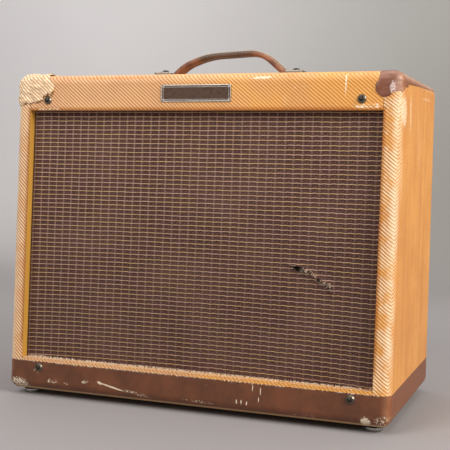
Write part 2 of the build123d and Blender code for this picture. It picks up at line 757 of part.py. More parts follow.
JACK_LOW = PANEL_UNDER - 8

with BuildPart() as input_jacks:
    for x in JACK_X:
        with BuildSketch(upright(x, JACK_LOW)):
            Circle(BUSHING_RADIUS)
        extrude(amount=BUSHING_TOP - JACK_LOW)
        with BuildSketch(upright(x, PANEL_UNDER - 1.6)):
            Circle(8.2)
        extrude(amount=1.6)
        # the long spring that touches the plug's tip
        with Locations((x, CONTROL_Y + 7.6, PANEL_UNDER - 15)):
            Box(6, 0.9, 30)
        with Locations((x, CONTROL_Y + 6.2, PANEL_UNDER - 29)):
            Box(6, 3.6, 0.9)
        with BuildSketch(upright(x, JACK_LOW)):
            Circle(PLUG_BORE)
        extrude(amount=BUSHING_TOP, mode=Mode.SUBTRACT)
save(input_jacks, "input_jacks")

SWITCH_BUSHING_TOP = PANEL_TOP + 8
SWITCH_PIVOT = PANEL_TOP + 4
SWITCH_BORE = 3.6
SWITCH_TILT = 15.0

with BuildPart() as power_switch_body:
    with BuildSketch(upright(SWITCH_X, PANEL_UNDER - 18)):
        Rectangle(14, 24)
    extrude(amount=18)
    with BuildSketch(upright(SWITCH_X, PANEL_UNDER)):
        Circle(SWITCH_BUSHING)
    extrude(amount=SWITCH_BUSHING_TOP - PANEL_UNDER)
    with BuildSketch(upright(SWITCH_X, SWITCH_PIVOT - 8)):
        Circle(SWITCH_BORE)
    extrude(amount=20, mode=Mode.SUBTRACT)
    with Locations((SWITCH_X, CONTROL_Y, PANEL_UNDER - 20)):
        with GridLocations(0, 10, 1, 2):
            Box(5, 0.9, 5)
save(power_switch_body, "power_switch_body")

with BuildPart() as power_switch_lever:
    lever_axis = Vector(-sin(radians(SWITCH_TILT)), 0, cos(radians(SWITCH_TILT)))
    lever_plane = Plane(origin=(SWITCH_X, CONTROL_Y, SWITCH_PIVOT), x_dir=(0, 1, 0), z_dir=lever_axis)
    with Locations(lever_plane):
        Sphere(SWITCH_BORE - 0.05)
    with BuildSketch(lever_plane.offset(-5.5)):
        Circle(1.7)
    extrude(amount=5.5)
    with BuildSketch(lever_plane):
        Circle(1.9)
    with BuildSketch(lever_plane.offset(17)):
        Circle(3.0)
    loft()
    with Locations(lever_plane.offset(17)):
        Sphere(3.0)
save(power_switch_lever, "power_switch_lever")

FUSE_RIM = PANEL_TOP + 1.6

with BuildPart() as fuse_holder:
    with BuildSketch(upright(FUSE_X, PANEL_UNDER - 32)):
        Circle(FUSE_RADIUS)
    extrude(amount=FUSE_RIM - PANEL_UNDER + 32)
    with BuildSketch(upright(FUSE_X, PANEL_TOP)):
        Circle(9.2)
    extrude(amount=FUSE_RIM - PANEL_TOP)
    fillet(fuse_holder.edges().group_by(Axis.Z)[-1], radius=0.6)
    with BuildSketch(upright(FUSE_X, PANEL_UNDER - 29)):
        Circle(4.5)
    extrude(amount=60, mode=Mode.SUBTRACT)
save(fuse_holder, "fuse_holder")

with BuildPart() as fuse_cap:
    with BuildSketch(upright(FUSE_X, PANEL_UNDER - 20)):
        Circle(4.45)
    extrude(amount=FUSE_RIM - PANEL_UNDER + 20.2)
    with BuildSketch(upright(FUSE_X, FUSE_RIM + 0.2)):
        Circle(6.6)
        with PolarLocations(6.6, 16):
            Circle(0.5, mode=Mode.SUBTRACT)
    extrude(amount=8)
    with BuildSketch(upright(FUSE_X, FUSE_RIM + 8.2)):
        Rectangle(9, 1.6)
    extrude(amount=-1, mode=Mode.SUBTRACT)
save(fuse_cap, "fuse_cap")

with BuildPart() as pilot_bezel:
    with BuildSketch(upright(PILOT_X, PANEL_UNDER - 24)):
        Circle(PILOT_RADIUS)
    extrude(amount=PANEL_TOP - PANEL_UNDER + 24)
    with BuildSketch(upright(PILOT_X, PANEL_TOP)):
        Circle(10)
    extrude(amount=2.2)
    fillet(pilot_bezel.edges().group_by(Axis.Z)[-1], radius=1.2)
    with BuildSketch(upright(PILOT_X, PANEL_UNDER - 22)):
        Circle(6)
    extrude(amount=60, mode=Mode.SUBTRACT)
save(pilot_bezel, "pilot_bezel")

with BuildPart() as pilot_jewel:
    with BuildSketch(upright(PILOT_X, PANEL_TOP - 4)):
        Circle(5.95)
    extrude(amount=7)
    with BuildSketch(upright(PILOT_X, PANEL_TOP + 3)):
        RegularPolygon(5.9, 8)
    extrude(amount=4, taper=35)
save(pilot_jewel, "pilot_jewel")

# ---------------------------------------------------------------- valves

BASE_RADIUS = 16.3
BASE_TOP = CHASSIS_LOW - 6
BASE_HEIGHT = 24.0
GLASS_RADIUS = 15.6
GLASS_WALL = 1.2
PIN_CIRCLE = 8.7
VALVE_PIN = 1.15


def hanging(x, z):
    """A level plane under the chassis, facing down."""
    return Plane(origin=(x, CONTROL_Y, z), x_dir=(1, 0, 0), z_dir=(0, 0, -1))


with BuildPart() as valve_sockets:
    for x in OCTAL_X:
        with BuildSketch(hanging(x, CHASSIS_LOW)):
            Circle(19)
        extrude(amount=2)
        with BuildSketch(hanging(x, CHASSIS_LOW + 9)):
            Circle(SOCKET_RADIUS)
        extrude(amount=CHASSIS_LOW + 9 - BASE_TOP)
        with BuildSketch(hanging(x, BASE_TOP)):
            with PolarLocations(PIN_CIRCLE, 8, start_angle=22.5):
                Circle(VALVE_PIN + 0.08)
        extrude(amount=-13, mode=Mode.SUBTRACT)
    for x in NOVAL_X:
        with BuildSketch(hanging(x, CHASSIS_LOW)):
            Circle(14)
        extrude(amount=2)
        with BuildSketch(hanging(x, CHASSIS_LOW + 8)):
            Circle(SMALL_SOCKET_RADIUS)
        extrude(amount=CHASSIS_LOW + 8 - BASE_TOP)
        with BuildSketch(hanging(x, BASE_TOP)):
            with PolarLocations(6, 9):
                Circle(0.6)
        extrude(amount=-11, mode=Mode.SUBTRACT)
save(valve_sockets, "valve_sockets")

with BuildPart() as octal_valve_bases:
    for x in OCTAL_X:
        with BuildSketch(hanging(x, BASE_TOP)):
            Circle(BASE_RADIUS)
        extrude(amount=BASE_HEIGHT)
        with BuildSketch(hanging(x, BASE_TOP)):
            with PolarLocations(PIN_CIRCLE, 8, start_angle=22.5):
                Circle(VALVE_PIN)
        extrude(amount=-11)
save(octal_valve_bases, "octal_valve_bases")


def bottle(x, top, radius, length, wall):
    """A hanging glass bulb with a domed tip and an empty inside."""
    with BuildPart() as glass:
        for inset in (0, wall):
            outline = Plane(origin=(x, CONTROL_Y, top), x_dir=(1, 0, 0), z_dir=(0, -1, 0))
            with BuildSketch(outline):
                with BuildLine():
                    Line((0, -inset), (radius - inset, -inset))
                    Line((radius - inset, -inset), (radius - inset, -length + radius))
                    CenterArc((0, -length + radius), radius - inset, -90, 90)
                    Line((0, -length + inset), (0, -inset))
                make_face()
            revolve(
                axis=Axis((x, CONTROL_Y, top), (0, 0, 1)),
                mode=Mode.SUBTRACT if inset else Mode.ADD,
            )
    return glass.part


with BuildPart() as octal_valve_glass:
    for x, length in zip(OCTAL_X, (60, 64, 64)):
        add(bottle(x, BASE_TOP - BASE_HEIGHT, GLASS_RADIUS, length, GLASS_WALL))
save(octal_valve_glass, "octal_valve_glass")

with BuildPart() as small_valve_glass:
    for x in NOVAL_X:
        add(bottle(x, BASE_TOP, 10.8, 50, 1.0))
save(small_valve_glass, "small_valve_glass")

# ---------------------------------------------------------------- transformers and circuit

CORE_WIDTH = 30.0
IRON_DEPTH = 58.0
IRON_HEIGHT = 62.0
BELL = 18.0

with BuildPart() as power_transformer_core:
    with Locations((POWER_TRANSFORMER_X, CHASSIS_Y, CHASSIS_LOW - IRON_HEIGHT / 2)):
        Box(CORE_WIDTH, IRON_DEPTH, IRON_HEIGHT)
save(power_transformer_core, "power_transformer_core")

with BuildPart() as power_transformer_bells:
    for side in (-1, 1):
        face = POWER_TRANSFORMER_X + side * CORE_WIDTH / 2
        bell_plane = Plane(origin=(face, CHASSIS_Y, CHASSIS_LOW - IRON_HEIGHT / 2), z_dir=(side, 0, 0))
        with BuildSketch(bell_plane):
            RectangleRounded(IRON_DEPTH - 2, IRON_HEIGHT - 2, 3)
        extrude(amount=1.5)
        with BuildSketch(bell_plane):
            RectangleRounded(IRON_DEPTH - 14, IRON_HEIGHT - 14, 8)
        extrude(amount=BELL, taper=6)
    fillet(power_transformer_bells.faces().sort_by(Axis.X)[0].edges(), radius=5)
    fillet(power_transformer_bells.faces().sort_by(Axis.X)[-1].edges(), radius=5)
save(power_transformer_bells, "power_transformer_bells")

with BuildPart() as output_transformer:
    with Locations((OUTPUT_TRANSFORMER_X, CONTROL_Y, CHASSIS_LOW - 23)):
        Box(20, 46, 40)
        Box(36, 28, 24)
    with Locations((OUTPUT_TRANSFORMER_X, CONTROL_Y, CHASSIS_LOW - 0.75)):
        Box(20, 60, 1.5)
    for side in (-1, 1):
        with Locations((OUTPUT_TRANSFORMER_X, CONTROL_Y + side * 23.75, CHASSIS_LOW - 22)):
            Box(20, 1.5, 44)
    with Locations((OUTPUT_TRANSFORMER_X, CONTROL_Y, CHASSIS_LOW - 43.5)):
        Box(20, 49, 1.5)
save(output_transformer, "output_transformer")

EYELET_FACE = CHASSIS_FRONT + STEEL + 6

with BuildPart() as eyelet_board:
    with Locations((0, EYELET_FACE + 1, 370)):
        Box(330, 2, 44)
    with Locations(*[(x, EYELET_FACE - 3, z) for x in (-155, 155) for z in (354, 386)]):
        Cylinder(3, 6, rotation=(90, 0, 0))
save(eyelet_board, "eyelet_board")

with BuildPart() as filter_capacitors:
    for x in (-140, -92, -44):
        with BuildSketch(Plane.YZ.offset(x - 21)):
            with Locations((EYELET_FACE + 2 + 9.6, 361)):
                Circle(9.5)
        extrude(amount=42)
    fillet(filter_capacitors.edges().filter_by(GeomType.CIRCLE), radius=1.5)
save(filter_capacitors, "filter_capacitors")

with BuildPart() as board_components:
    for number in range(9):
        body_radius = 3.6 if number % 3 == 0 else 2.6
        body_length = 26 if number % 3 == 0 else 16
        x = 2 + 17 * number
        with Locations((x, EYELET_FACE + 2 + body_radius + 0.1, 370)):
            Cylinder(body_radius, body_length)
            Cylinder(0.6, 38)
save(board_components, "board_components")

# ---------------------------------------------------------------- speaker

SPEAKER = speaker_plane(0)
SPEAKER_SECTION = Plane(origin=SPEAKER.origin, x_dir=(1, 0, 0), z_dir=(0, sin(LEAN), cos(LEAN)))
SPEAKER_AXIS = Axis(SPEAKER.origin, SPEAKER.z_dir)
SEAT = GASKET + SHEET
THROAT = 70.0
HUB_RADIUS = 42.0
WALL_RADIUS = 126.0
WALL_DEPTH = 16.0
COIL_RADIUS = 13.6
CONE_DEPTH = 47.0
CONE_SEAT = 2.7
MAGNET_DEPTH = 40.0
BOLT_ANGLES = dict(radius=BOLT_RING, count=8, start_angle=22.5)


def turned(points):
    """A solid of revolution about the speaker's axis from (radius, depth) points."""
    with BuildPart() as piece:
        with BuildSketch(SPEAKER_SECTION):
            with BuildLine():
                Polyline(*points, close=True)
            make_face()
        revolve(axis=SPEAKER_AXIS)
    return piece.part


with BuildPart() as speaker_gasket:
    with BuildSketch(SPEAKER):
        Circle(FLANGE_RADIUS)
        Circle(WALL_RADIUS + 3, mode=Mode.SUBTRACT)
        with PolarLocations(**BOLT_ANGLES):
            Circle(BOLT_RADIUS + HOLE_CLEARANCE, mode=Mode.SUBTRACT)
    extrude(amount=GASKET)
save(speaker_gasket, "speaker_gasket")

with BuildPart() as speaker_basket:
    add(
        turned(
            [
                (FLANGE_RADIUS, GASKET),
                (WALL_RADIUS, GASKET),
                (WALL_RADIUS, WALL_DEPTH),
                (HUB_RADIUS, THROAT),
                (COIL_RADIUS + 2, THROAT),
                (COIL_RADIUS + 2, THROAT + SHEET),
                (HUB_RADIUS + 0.4, THROAT + SHEET),
                (WALL_RADIUS + SHEET, WALL_DEPTH + 0.8),
                (WALL_RADIUS + SHEET, SEAT),
                (FLANGE_RADIUS, SEAT),
            ]
        )
    )
    with BuildSketch(SPEAKER.offset(WALL_DEPTH + 2)):
        with PolarLocations(0, 8):
            with BuildLine():
                Polyline((52, -8), (117, -34), (117, 34), (52, 8), close=True)
            make_face()
    extrude(amount=THROAT, mode=Mode.SUBTRACT)
    with BuildSketch(SPEAKER):
        with PolarLocations(**BOLT_ANGLES):
            Circle(BOLT_RADIUS + HOLE_CLEARANCE)
    extrude(amount=WALL_DEPTH, mode=Mode.SUBTRACT)
save(speaker_basket, "speaker_basket")

with BuildPart() as speaker_cone:
    add(
        turned(
            [
                (WALL_RADIUS - 1.2, CONE_SEAT),
                (WALL_RADIUS - 1.2, CONE_SEAT + 0.8),
                (WALL_RADIUS - 10, CONE_SEAT + 0.8),
                (COIL_RADIUS, CONE_DEPTH),
                (COIL_RADIUS, THROAT + 4),
                (COIL_RADIUS - 0.8, THROAT + 4),
                (COIL_RADIUS - 0.8, CONE_DEPTH - 0.6),
                (WALL_RADIUS - 10, CONE_SEAT),
            ]
        )
    )
save(speaker_cone, "speaker_cone")

CAP_RADIUS = 26.0
CAP_SLOPE = (CONE_DEPTH - 0.6 - CONE_SEAT) / (WALL_RADIUS - 10 - COIL_RADIUS + 0.8)
CAP_SEAT = CONE_DEPTH - 0.6 - (CAP_RADIUS - COIL_RADIUS + 0.8) * CAP_SLOPE - 0.1

with BuildPart() as dust_cap:
    with BuildSketch(SPEAKER_SECTION):
        with BuildLine():
            RadiusArc((CAP_RADIUS, CAP_SEAT), (0, CAP_SEAT - 9), head_sphere(CAP_RADIUS, 9))
            Line((0, CAP_SEAT - 9), (0, CAP_SEAT - 8.2))
            RadiusArc((0, CAP_SEAT - 8.2), (CAP_RADIUS - 1.5, CAP_SEAT), -head_sphere(CAP_RADIUS - 1.5, 8.2))
            Line((CAP_RADIUS - 1.5, CAP_SEAT), (CAP_RADIUS, CAP_SEAT))
        make_face()
    revolve(axis=SPEAKER_AXIS)
save(dust_cap, "dust_cap")

MAGNET_FACE = THROAT + SHEET
MAGNET_END = MAGNET_FACE + MAGNET_DEPTH
POLE_RADIUS = 11.8

with BuildPart() as speaker_magnet:
    add(
        turned(
            [
                (COIL_RADIUS + 0.8, MAGNET_FACE),
                (MAGNET_RADIUS, MAGNET_FACE),
                (MAGNET_RADIUS, MAGNET_END - 6),
                (MAGNET_RADIUS - 8, MAGNET_END),
                (0, MAGNET_END),
                (0, MAGNET_FACE),
                (POLE_RADIUS, MAGNET_FACE),
                (POLE_RADIUS, MAGNET_END - 6),
                (MAGNET_RADIUS - 6, MAGNET_END - 6),
                (MAGNET_RADIUS - 6, MAGNET_FACE + 5),
                (COIL_RADIUS + 0.8, MAGNET_FACE + 5),
            ]
        )
    )
save(speaker_magnet, "speaker_magnet")

BOLT_SEAT = BAFFLE - 2.2

with BuildPart() as speaker_bolts:
    with Locations(SPEAKER):
        with PolarLocations(**BOLT_ANGLES):
            with Locations((0, 0, -BOLT_SEAT - 1)):
                Cylinder(NUT_RADIUS - 0.1, 2)
            with Locations((0, 0, (SEAT + 7 - BOLT_SEAT) / 2)):
                Cylinder(BOLT_RADIUS, SEAT + 7 + BOLT_SEAT)
    with BuildSketch(SPEAKER.offset(SEAT)):
        with PolarLocations(**BOLT_ANGLES):
            RegularPolygon(NUT_RADIUS, 6)
            Circle(BOLT_RADIUS, mode=Mode.SUBTRACT)
    extrude(amount=4)
save(speaker_bolts, "speaker_bolts")
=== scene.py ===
import math
import random

import bmesh
import bpy
import numpy as np
from mathutils import Matrix, Vector, noise
from mathutils.bvhtree import BVHTree


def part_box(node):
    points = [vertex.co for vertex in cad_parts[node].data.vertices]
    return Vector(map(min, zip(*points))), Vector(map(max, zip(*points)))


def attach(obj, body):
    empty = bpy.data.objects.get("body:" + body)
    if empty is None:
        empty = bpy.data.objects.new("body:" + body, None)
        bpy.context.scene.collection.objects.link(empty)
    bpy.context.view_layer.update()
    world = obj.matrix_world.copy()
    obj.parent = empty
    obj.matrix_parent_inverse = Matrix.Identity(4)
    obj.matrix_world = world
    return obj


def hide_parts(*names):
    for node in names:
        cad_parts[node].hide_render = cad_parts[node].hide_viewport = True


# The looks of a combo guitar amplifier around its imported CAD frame. Lengths are in metres, in
# the frame's own axes: the grille faces -Y and the control panel is at the top of the back.
# Materials work in millimetres.

MM = 0.001
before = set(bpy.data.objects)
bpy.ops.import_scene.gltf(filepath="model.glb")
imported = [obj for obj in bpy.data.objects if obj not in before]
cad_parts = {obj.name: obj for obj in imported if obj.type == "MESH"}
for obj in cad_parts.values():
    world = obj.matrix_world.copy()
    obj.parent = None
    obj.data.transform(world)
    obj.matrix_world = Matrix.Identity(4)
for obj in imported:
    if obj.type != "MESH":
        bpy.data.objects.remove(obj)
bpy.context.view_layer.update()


# ---------- the frame's own places

COVER_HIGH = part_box("tweed_cover")[1]
WRAP_LOW, WRAP_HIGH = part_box("leatherette_wrap")
HALF_WIDTH = COVER_HIGH.x
TOP = COVER_HIGH.z
GROUND = WRAP_LOW.z
WRAP_LINE = WRAP_HIGH.z
EDGE_RADIUS = 12 * MM

# The front leans back. Heights on it are measured up its slope from the cabinet's bottom.
FRONT_LOW = -128 * MM
LEAN_BACK = 21 * MM
LEAN = math.atan2(LEAN_BACK, TOP - GROUND)
OPENING_HALF = 233 * MM
OPENING_LOW = 42.6 * MM
OPENING_HIGH = 365.4 * MM
RECESS = 10.5 * MM
SPEAKER_UP = 205 * MM
PLATE_UP = 385.9 * MM
SLOPE_UP = Vector((0, math.sin(LEAN), math.cos(LEAN)))
SLOPE_OUT = Vector((0, -math.cos(LEAN), math.sin(LEAN)))


def on_front(x, up, out=0.0):
    """A point on the leaning front: across, up the slope from the cabinet's bottom, and out of it."""
    return Vector((x, FRONT_LOW, GROUND)) + SLOPE_UP * up + SLOPE_OUT * out


def srgb(red, green, blue):
    """A colour given as it looks on a screen, 0 to 255, as the shader wants it."""
    values = []
    for part in (red, green, blue):
        part /= 255
        values.append(part / 12.92 if part <= 0.04045 else ((part + 0.055) / 1.055) ** 2.4)
    return (*values, 1.0)


def shade(colour, factor):
    """A screen colour made darker, as the shader wants it."""
    return srgb(*[part * factor for part in colour])


# ---------- shader building


class Shader:
    """One procedural material, with short names for the nodes it is built from.

    point is the place on the object in millimetres, and x, y and z are its three parts.
    """

    def __init__(self, name):
        self.material = bpy.data.materials.new(name)
        self.material.use_nodes = True
        self.tree = self.material.node_tree
        self.bsdf = self.tree.nodes["Principled BSDF"]
        scaled = self.node("ShaderNodeVectorMath", operation="SCALE")
        self.feed(scaled.inputs[0], self.node("ShaderNodeTexCoord").outputs["Object"])
        scaled.inputs["Scale"].default_value = 1 / MM
        self.point = scaled.outputs[0]
        self.x, self.y, self.z = self.parts(self.point)

    def node(self, kind, *values, **settings):
        """A new node with its settings, its first inputs fed with the values. None leaves one alone."""
        made = self.tree.nodes.new(kind)
        for key, value in settings.items():
            setattr(made, key, value)
        for socket, value in zip(made.inputs, values):
            self.feed(socket, value)
        return made

    def feed(self, socket, value):
        if isinstance(value, bpy.types.NodeSocket):
            self.tree.links.new(value, socket)
        elif value is not None:
            socket.default_value = value

    def math(self, operation, *values):
        return self.node("ShaderNodeMath", *values, operation=operation).outputs[0]

    def add(self, first, second):
        return self.math("ADD", first, second)

    def minus(self, first, second):
        return self.math("SUBTRACT", first, second)

    def times(self, first, second):
        return self.math("MULTIPLY", first, second)

    def line(self, value, slope, start):
        """value * slope + start"""
        return self.math("MULTIPLY_ADD", value, slope, start)

    def least(self, first, second):
        return self.math("MINIMUM", first, second)

    def most(self, first, second):
        return self.math("MAXIMUM", first, second)

    def size(self, value):
        return self.math("ABSOLUTE", value)

    def wave(self, value, period):
        """A smooth 0 to 1 wave of the given period."""
        angle = self.times(value, 2 * math.pi / period)
        return self.line(self.math("SINE", angle), 0.5, 0.5)

    def step(self, value, low, high):
        """0 below low, 1 above high and smooth between. It falls instead where low is above high."""
        ends = (high, low, 1.0, 0.0) if low > high else (low, high, 0.0, 1.0)
        made = self.node("ShaderNodeMapRange", value, *ends, interpolation_type="SMOOTHSTEP")
        return made.outputs["Result"]

    def mix(self, factor, first, second, blend="MIX"):
        made = self.node("ShaderNodeMix", data_type="RGBA", blend_type=blend)
        self.feed(made.inputs[0], factor)
        self.feed(made.inputs[6], first)
        self.feed(made.inputs[7], second)
        return made.outputs[2]

    def parts(self, vector):
        """A vector's three parts."""
        return tuple(self.node("ShaderNodeSeparateXYZ", vector).outputs)

    def vector(self, x=0.0, y=0.0, z=0.0):
        return self.node("ShaderNodeCombineXYZ", x, y, z).outputs[0]

    def stretched(self, vector, factors):
        return self.node("ShaderNodeVectorMath", vector, factors, operation="MULTIPLY").outputs[0]

    def noise(self, vector, scale, detail=3.0, roughness=0.55):
        made = self.node("ShaderNodeTexNoise", vector, None, scale, detail, roughness)
        return made.outputs["Fac"]

    def cells(self, vector, scale):
        return self.node("ShaderNodeTexVoronoi", vector, None, scale).outputs["Distance"]

    def marks(self, across, up, places):
        """1 inside each ragged mark of a list of marks, across and up being where the surface is."""
        ragged = self.times(self.minus(self.noise(self.point, 0.40, 4, 0.7), 0.5), 3.2)
        broken = self.noise(self.point, 0.50, 4, 0.75)
        found = None
        for middle, height, half_length, half_height, tilt, full in places:
            level, slant = math.cos(math.radians(tilt)), math.sin(math.radians(tilt))
            dx = self.minus(across, middle)
            dz = self.minus(up, height)
            u = self.line(dx, level / half_length, self.times(dz, slant / half_length))
            v = self.line(dz, level / half_height, self.times(dx, -slant / half_height))
            away = self.math("SQRT", self.line(u, u, self.times(v, v)))
            inside = self.step(self.add(away, self.times(ragged, 0.6)), 1.0, 0.7)
            sparse = 0.70 - full * 0.38
            inside = self.times(inside, self.step(broken, sparse, sparse + 0.04))
            found = inside if found is None else self.most(found, inside)
        return found

    def facing(self):
        """1 on faces that look mostly sideways, and 1 on faces that look mostly up or down."""
        normal = self.node("ShaderNodeNewGeometry").outputs["Normal"]
        x, y, z = [self.size(part) for part in self.parts(normal)]
        side = self.math("GREATER_THAN", x, self.most(y, z))
        level = self.math("GREATER_THAN", z, self.most(x, y))
        return side, level

    def bump(self, height, depth, strength=1.0):
        """Relief, of a depth in millimetres."""
        made = self.node("ShaderNodeBump")
        self.feed(made.inputs["Height"], height)
        made.inputs["Distance"].default_value = depth * MM
        made.inputs["Strength"].default_value = strength
        self.feed(self.bsdf.inputs["Normal"], made.outputs[0])

    def finish(self, colour, roughness=0.5, metallic=0.0, specular=0.5):
        self.feed(self.bsdf.inputs["Base Color"], colour)
        self.feed(self.bsdf.inputs["Roughness"], roughness)
        self.bsdf.inputs["Metallic"].default_value = metallic
        self.bsdf.inputs["Specular IOR Level"].default_value = specular
        return self.material


def edge_nearness(s, reach):
    """1 on the cabinet's rounded outer edges, falling to 0 `reach` millimetres away."""
    from_side = s.minus(HALF_WIDTH / MM, s.size(s.x))
    from_top = s.minus(TOP / MM, s.z)
    lean_back = s.times(s.minus(s.z, GROUND / MM), math.tan(LEAN))
    from_front = s.minus(s.minus(s.y, FRONT_LOW / MM), lean_back)
    side, top, front = [s.step(d, reach, reach * 0.12) for d in (from_side, from_top, from_front)]
    return s.most(s.most(s.times(side, top), s.times(s.times(top, front), 0.3)), s.times(side, front))


# ---------- tweed cloth

# The stripes repeat this often, in millimetres, across a face and up it. The boards beside the
# opening were covered separately, so their stripes stand at slightly other angles.
STRIPE_PITCH = 3.42
YARN_PITCH = 1.15
RUN, SIDE_RUN = 5.33, 4.9
RISE, LEFT_RISE, RIGHT_RISE = 4.46, 4.76, 4.18

# Marks in the cloth and the leatherette, in millimetres: the middle's place across and up, half
# the length, half the height, the tilt in degrees, and how full the mark is.
LACQUER_STAINS = [(-118, 414.5, 82, 3.4, -0.5, 0.9), (120, 415.5, 60, 2.2, 0, 0.5)]
RAIL_SCUFFS = [
    (86, 411.5, 13, 1.9, 2, 0.75), (188, 405, 1.0, 15, 0, 0.8), (150, 402, 16, 1.2, 4, 0.3),
    (215, 377, 18, 3.0, 3, 0.55), (-206, 374, 18, 2.0, 0, 0.5),
]
SIDE_SCRATCHES = [
    (9, 350, 0.9, 30, 14, 0.95), (14, 318, 0.8, 18, 16, 0.8), (-52, 372, 6, 24, 10, 0.55),
    (-92, 372, 16, 20, 8, 0.70), (-98, 300, 7, 40, 3, 0.45), (60, 396, 34, 2.0, 2, 0.5),
]
WRAP_SCUFFS = [
    (-101, 23.4, 21, 1.1, -12, 1.0), (-118, 27.0, 4, 1.8, -20, 0.9), (-66, 18.4, 22, 2.4, -8, 0.42),
    (-139, 26.0, 5, 2.6, 10, 0.55), (-187, 22.5, 8, 3.0, 0, 0.5), (-236, 17.0, 14, 7.0, -12, 0.62),
    (-211, 34.5, 5, 3.0, 0, 0.45), (-168, 21.0, 6, 1.6, 0, 0.4), (18, 17.2, 24, 1.8, -3, 0.4),
    (68, 22.5, 0.8, 3.2, 6, 1.0), (74, 22.5, 0.8, 3.4, 0, 1.0), (81, 21.5, 0.9, 3.4, -8, 1.0),
    (88, 41.0, 0.6, 4.0, 0, 0.9), (98, 38.0, 0.6, 5.5, 0, 0.9), (96, 27.5, 0.6, 3.4, 0, 0.9),
    (226, 14.5, 6.0, 6.5, 0, 0.85), (245, 17.0, 9, 6.5, 20, 0.45), (152, 14.0, 20, 2.0, 0, 0.3),
    (236, 9.5, 16, 2.4, 0, 0.7),
]
# A painted highlight on the right patch's rounding, drawn as a pale mark.
PATCH_HIGHLIGHT_MARK = [(243, 398, 3.4, 10, 0, 0.66)]


def stripe_rows(s, side, level, left, right):
    """The stripes' phase, one to a row, and the distance along them."""
    across = s.add(s.times(s.x, s.minus(1.0, side)), s.times(s.y, s.times(side, -1.0)))
    up = s.add(s.times(s.z, s.minus(1.0, level)), s.times(s.y, level))
    wander = s.times(s.minus(s.noise(s.point, 0.02, 2), 0.5), 2.4)
    steep = s.line(left, 1 / LEFT_RISE - 1 / RISE, 1 / RISE)
    steep = s.line(right, 1 / RIGHT_RISE - 1 / RISE, steep)
    flat = s.line(s.add(left, side), 1 / SIDE_RUN - 1 / RUN, 1 / RUN)
    row = s.add(s.add(s.times(across, flat), s.times(up, steep)), s.times(wander, 1 / STRIPE_PITCH))
    return row, s.times(s.minus(across, up), math.sqrt(0.5))


def yarn_colours(s, side, on_stile, age):
    """The dark and the light yarn: pinker at the left and more golden at the right, partly random tone and
    partly painted light, and more golden on the sides as painted side light.
    """
    # Painted light: the yarn goes from pink at the left to gold at the right and on the right side, mixed
    # with random tone.
    tone_and_light_warmth = s.step(s.add(s.times(s.x, 0.0019), s.times(s.minus(age, 0.5), 1.2)), -0.45, 0.5)
    tone_and_light_warmth = s.most(tone_and_light_warmth, s.times(side, s.step(s.x, 0, 10)))
    dark = s.mix(tone_and_light_warmth, srgb(202, 144, 94), srgb(212, 141, 58))
    dark = s.mix(s.times(on_stile, 0.6), dark, srgb(188, 128, 76))
    # Painted light: the dark yarn on sideways faces is a deeper gold, as a lit side.
    dark = s.mix(side, dark, srgb(206, 128, 54))
    light = s.mix(tone_and_light_warmth, srgb(247, 206, 158), srgb(241, 181, 98))
    faded = s.times(on_stile, s.step(s.noise(s.point, 0.05, 4, 0.65), 0.40, 0.56))
    light = s.mix(s.times(faded, 0.9), light, srgb(252, 230, 192))
    # Painted light: the light yarn on sideways faces is a brighter gold, as a lit side.
    light = s.mix(side, light, srgb(252, 192, 110))
    return dark, light


def lacquer(s, colour, side, age):
    """Old lacquer over the cloth: darker clouds, streaks down the sides and a few brown spots."""
    streaks = s.noise(s.stretched(s.point, (0.10, 0.10, 0.004)), 1.0, 3, 0.6)
    tone = s.step(s.add(age, s.times(s.minus(streaks, 0.5), s.times(side, 0.8))), 0.25, 0.75)
    colour = s.mix(s.times(s.minus(1.0, tone), 0.30), colour, srgb(176, 104, 44), "MULTIPLY")
    spots = s.step(s.noise(s.point, 0.16, 4, 0.7), 0.66, 0.74)
    return s.mix(s.times(spots, 0.35), colour, srgb(140, 88, 46))


def lacquer_loss_and_highlight(s, pale):
    """How far the lacquer has come off, with a painted highlight on the rounded edges: along the edges, in
    flecks, and at least `pale` everywhere.
    """
    rub = s.step(s.noise(s.stretched(s.point, (1.0, 1.0, 0.45)), 0.06, 5, 0.7), 0.36, 0.60)
    # Wear and painted highlight: the rounded edges are painted paler.
    worn_and_highlight = s.times(edge_nearness(s, 13.0), s.line(rub, 0.75, 0.25))
    flecks = s.step(s.noise(s.point, 0.09, 5, 0.75), 0.60, 0.70)
    return s.most(s.most(worn_and_highlight, s.times(flecks, 0.35)), pale)


def opening_shades(s, colour, side, front, fuzz):
    """Painted shade along the edge of the opening, where the cloth turns into the recess, and a golden
    lining on its inner sides.
    """
    beside = s.minus(s.size(s.x), OPENING_HALF / MM)
    slope_up = s.times(s.minus(s.z, GROUND / MM), 1 / math.cos(LEAN))
    above = s.minus(slope_up, OPENING_HIGH / MM)
    # Painted shade: a darker band where the cloth turns in at the opening's top and sides.
    lip_shade = s.least(s.step(s.most(beside, above), 5.5, 0.5), s.step(slope_up, 55, 70))
    colour = s.mix(s.times(s.times(lip_shade, front), 0.85), colour, srgb(200, 160, 74), "MULTIPLY")
    lining = s.times(side, s.step(s.size(s.x), 240, 236))
    return s.mix(s.times(lining, 0.8), colour, s.mix(fuzz, srgb(176, 124, 34), srgb(216, 170, 74)))


def tweed_marks(s, colour, front):
    """Stains and scuffs on the front, and scratches on the right side."""
    stained = s.times(s.marks(s.x, s.z, LACQUER_STAINS), front)
    colour = s.mix(s.times(stained, 0.5), colour, srgb(206, 122, 44))
    scuffed = s.times(s.marks(s.x, s.z, RAIL_SCUFFS), front)
    colour = s.mix(s.times(scuffed, 0.75), colour, srgb(250, 236, 210))
    on_right = s.math("GREATER_THAN", s.x, HALF_WIDTH / MM - EDGE_RADIUS / MM)
    scratched = s.times(s.marks(s.y, s.z, SIDE_SCRATCHES), on_right)
    return s.mix(s.times(scratched, 0.7), colour, srgb(254, 236, 204))


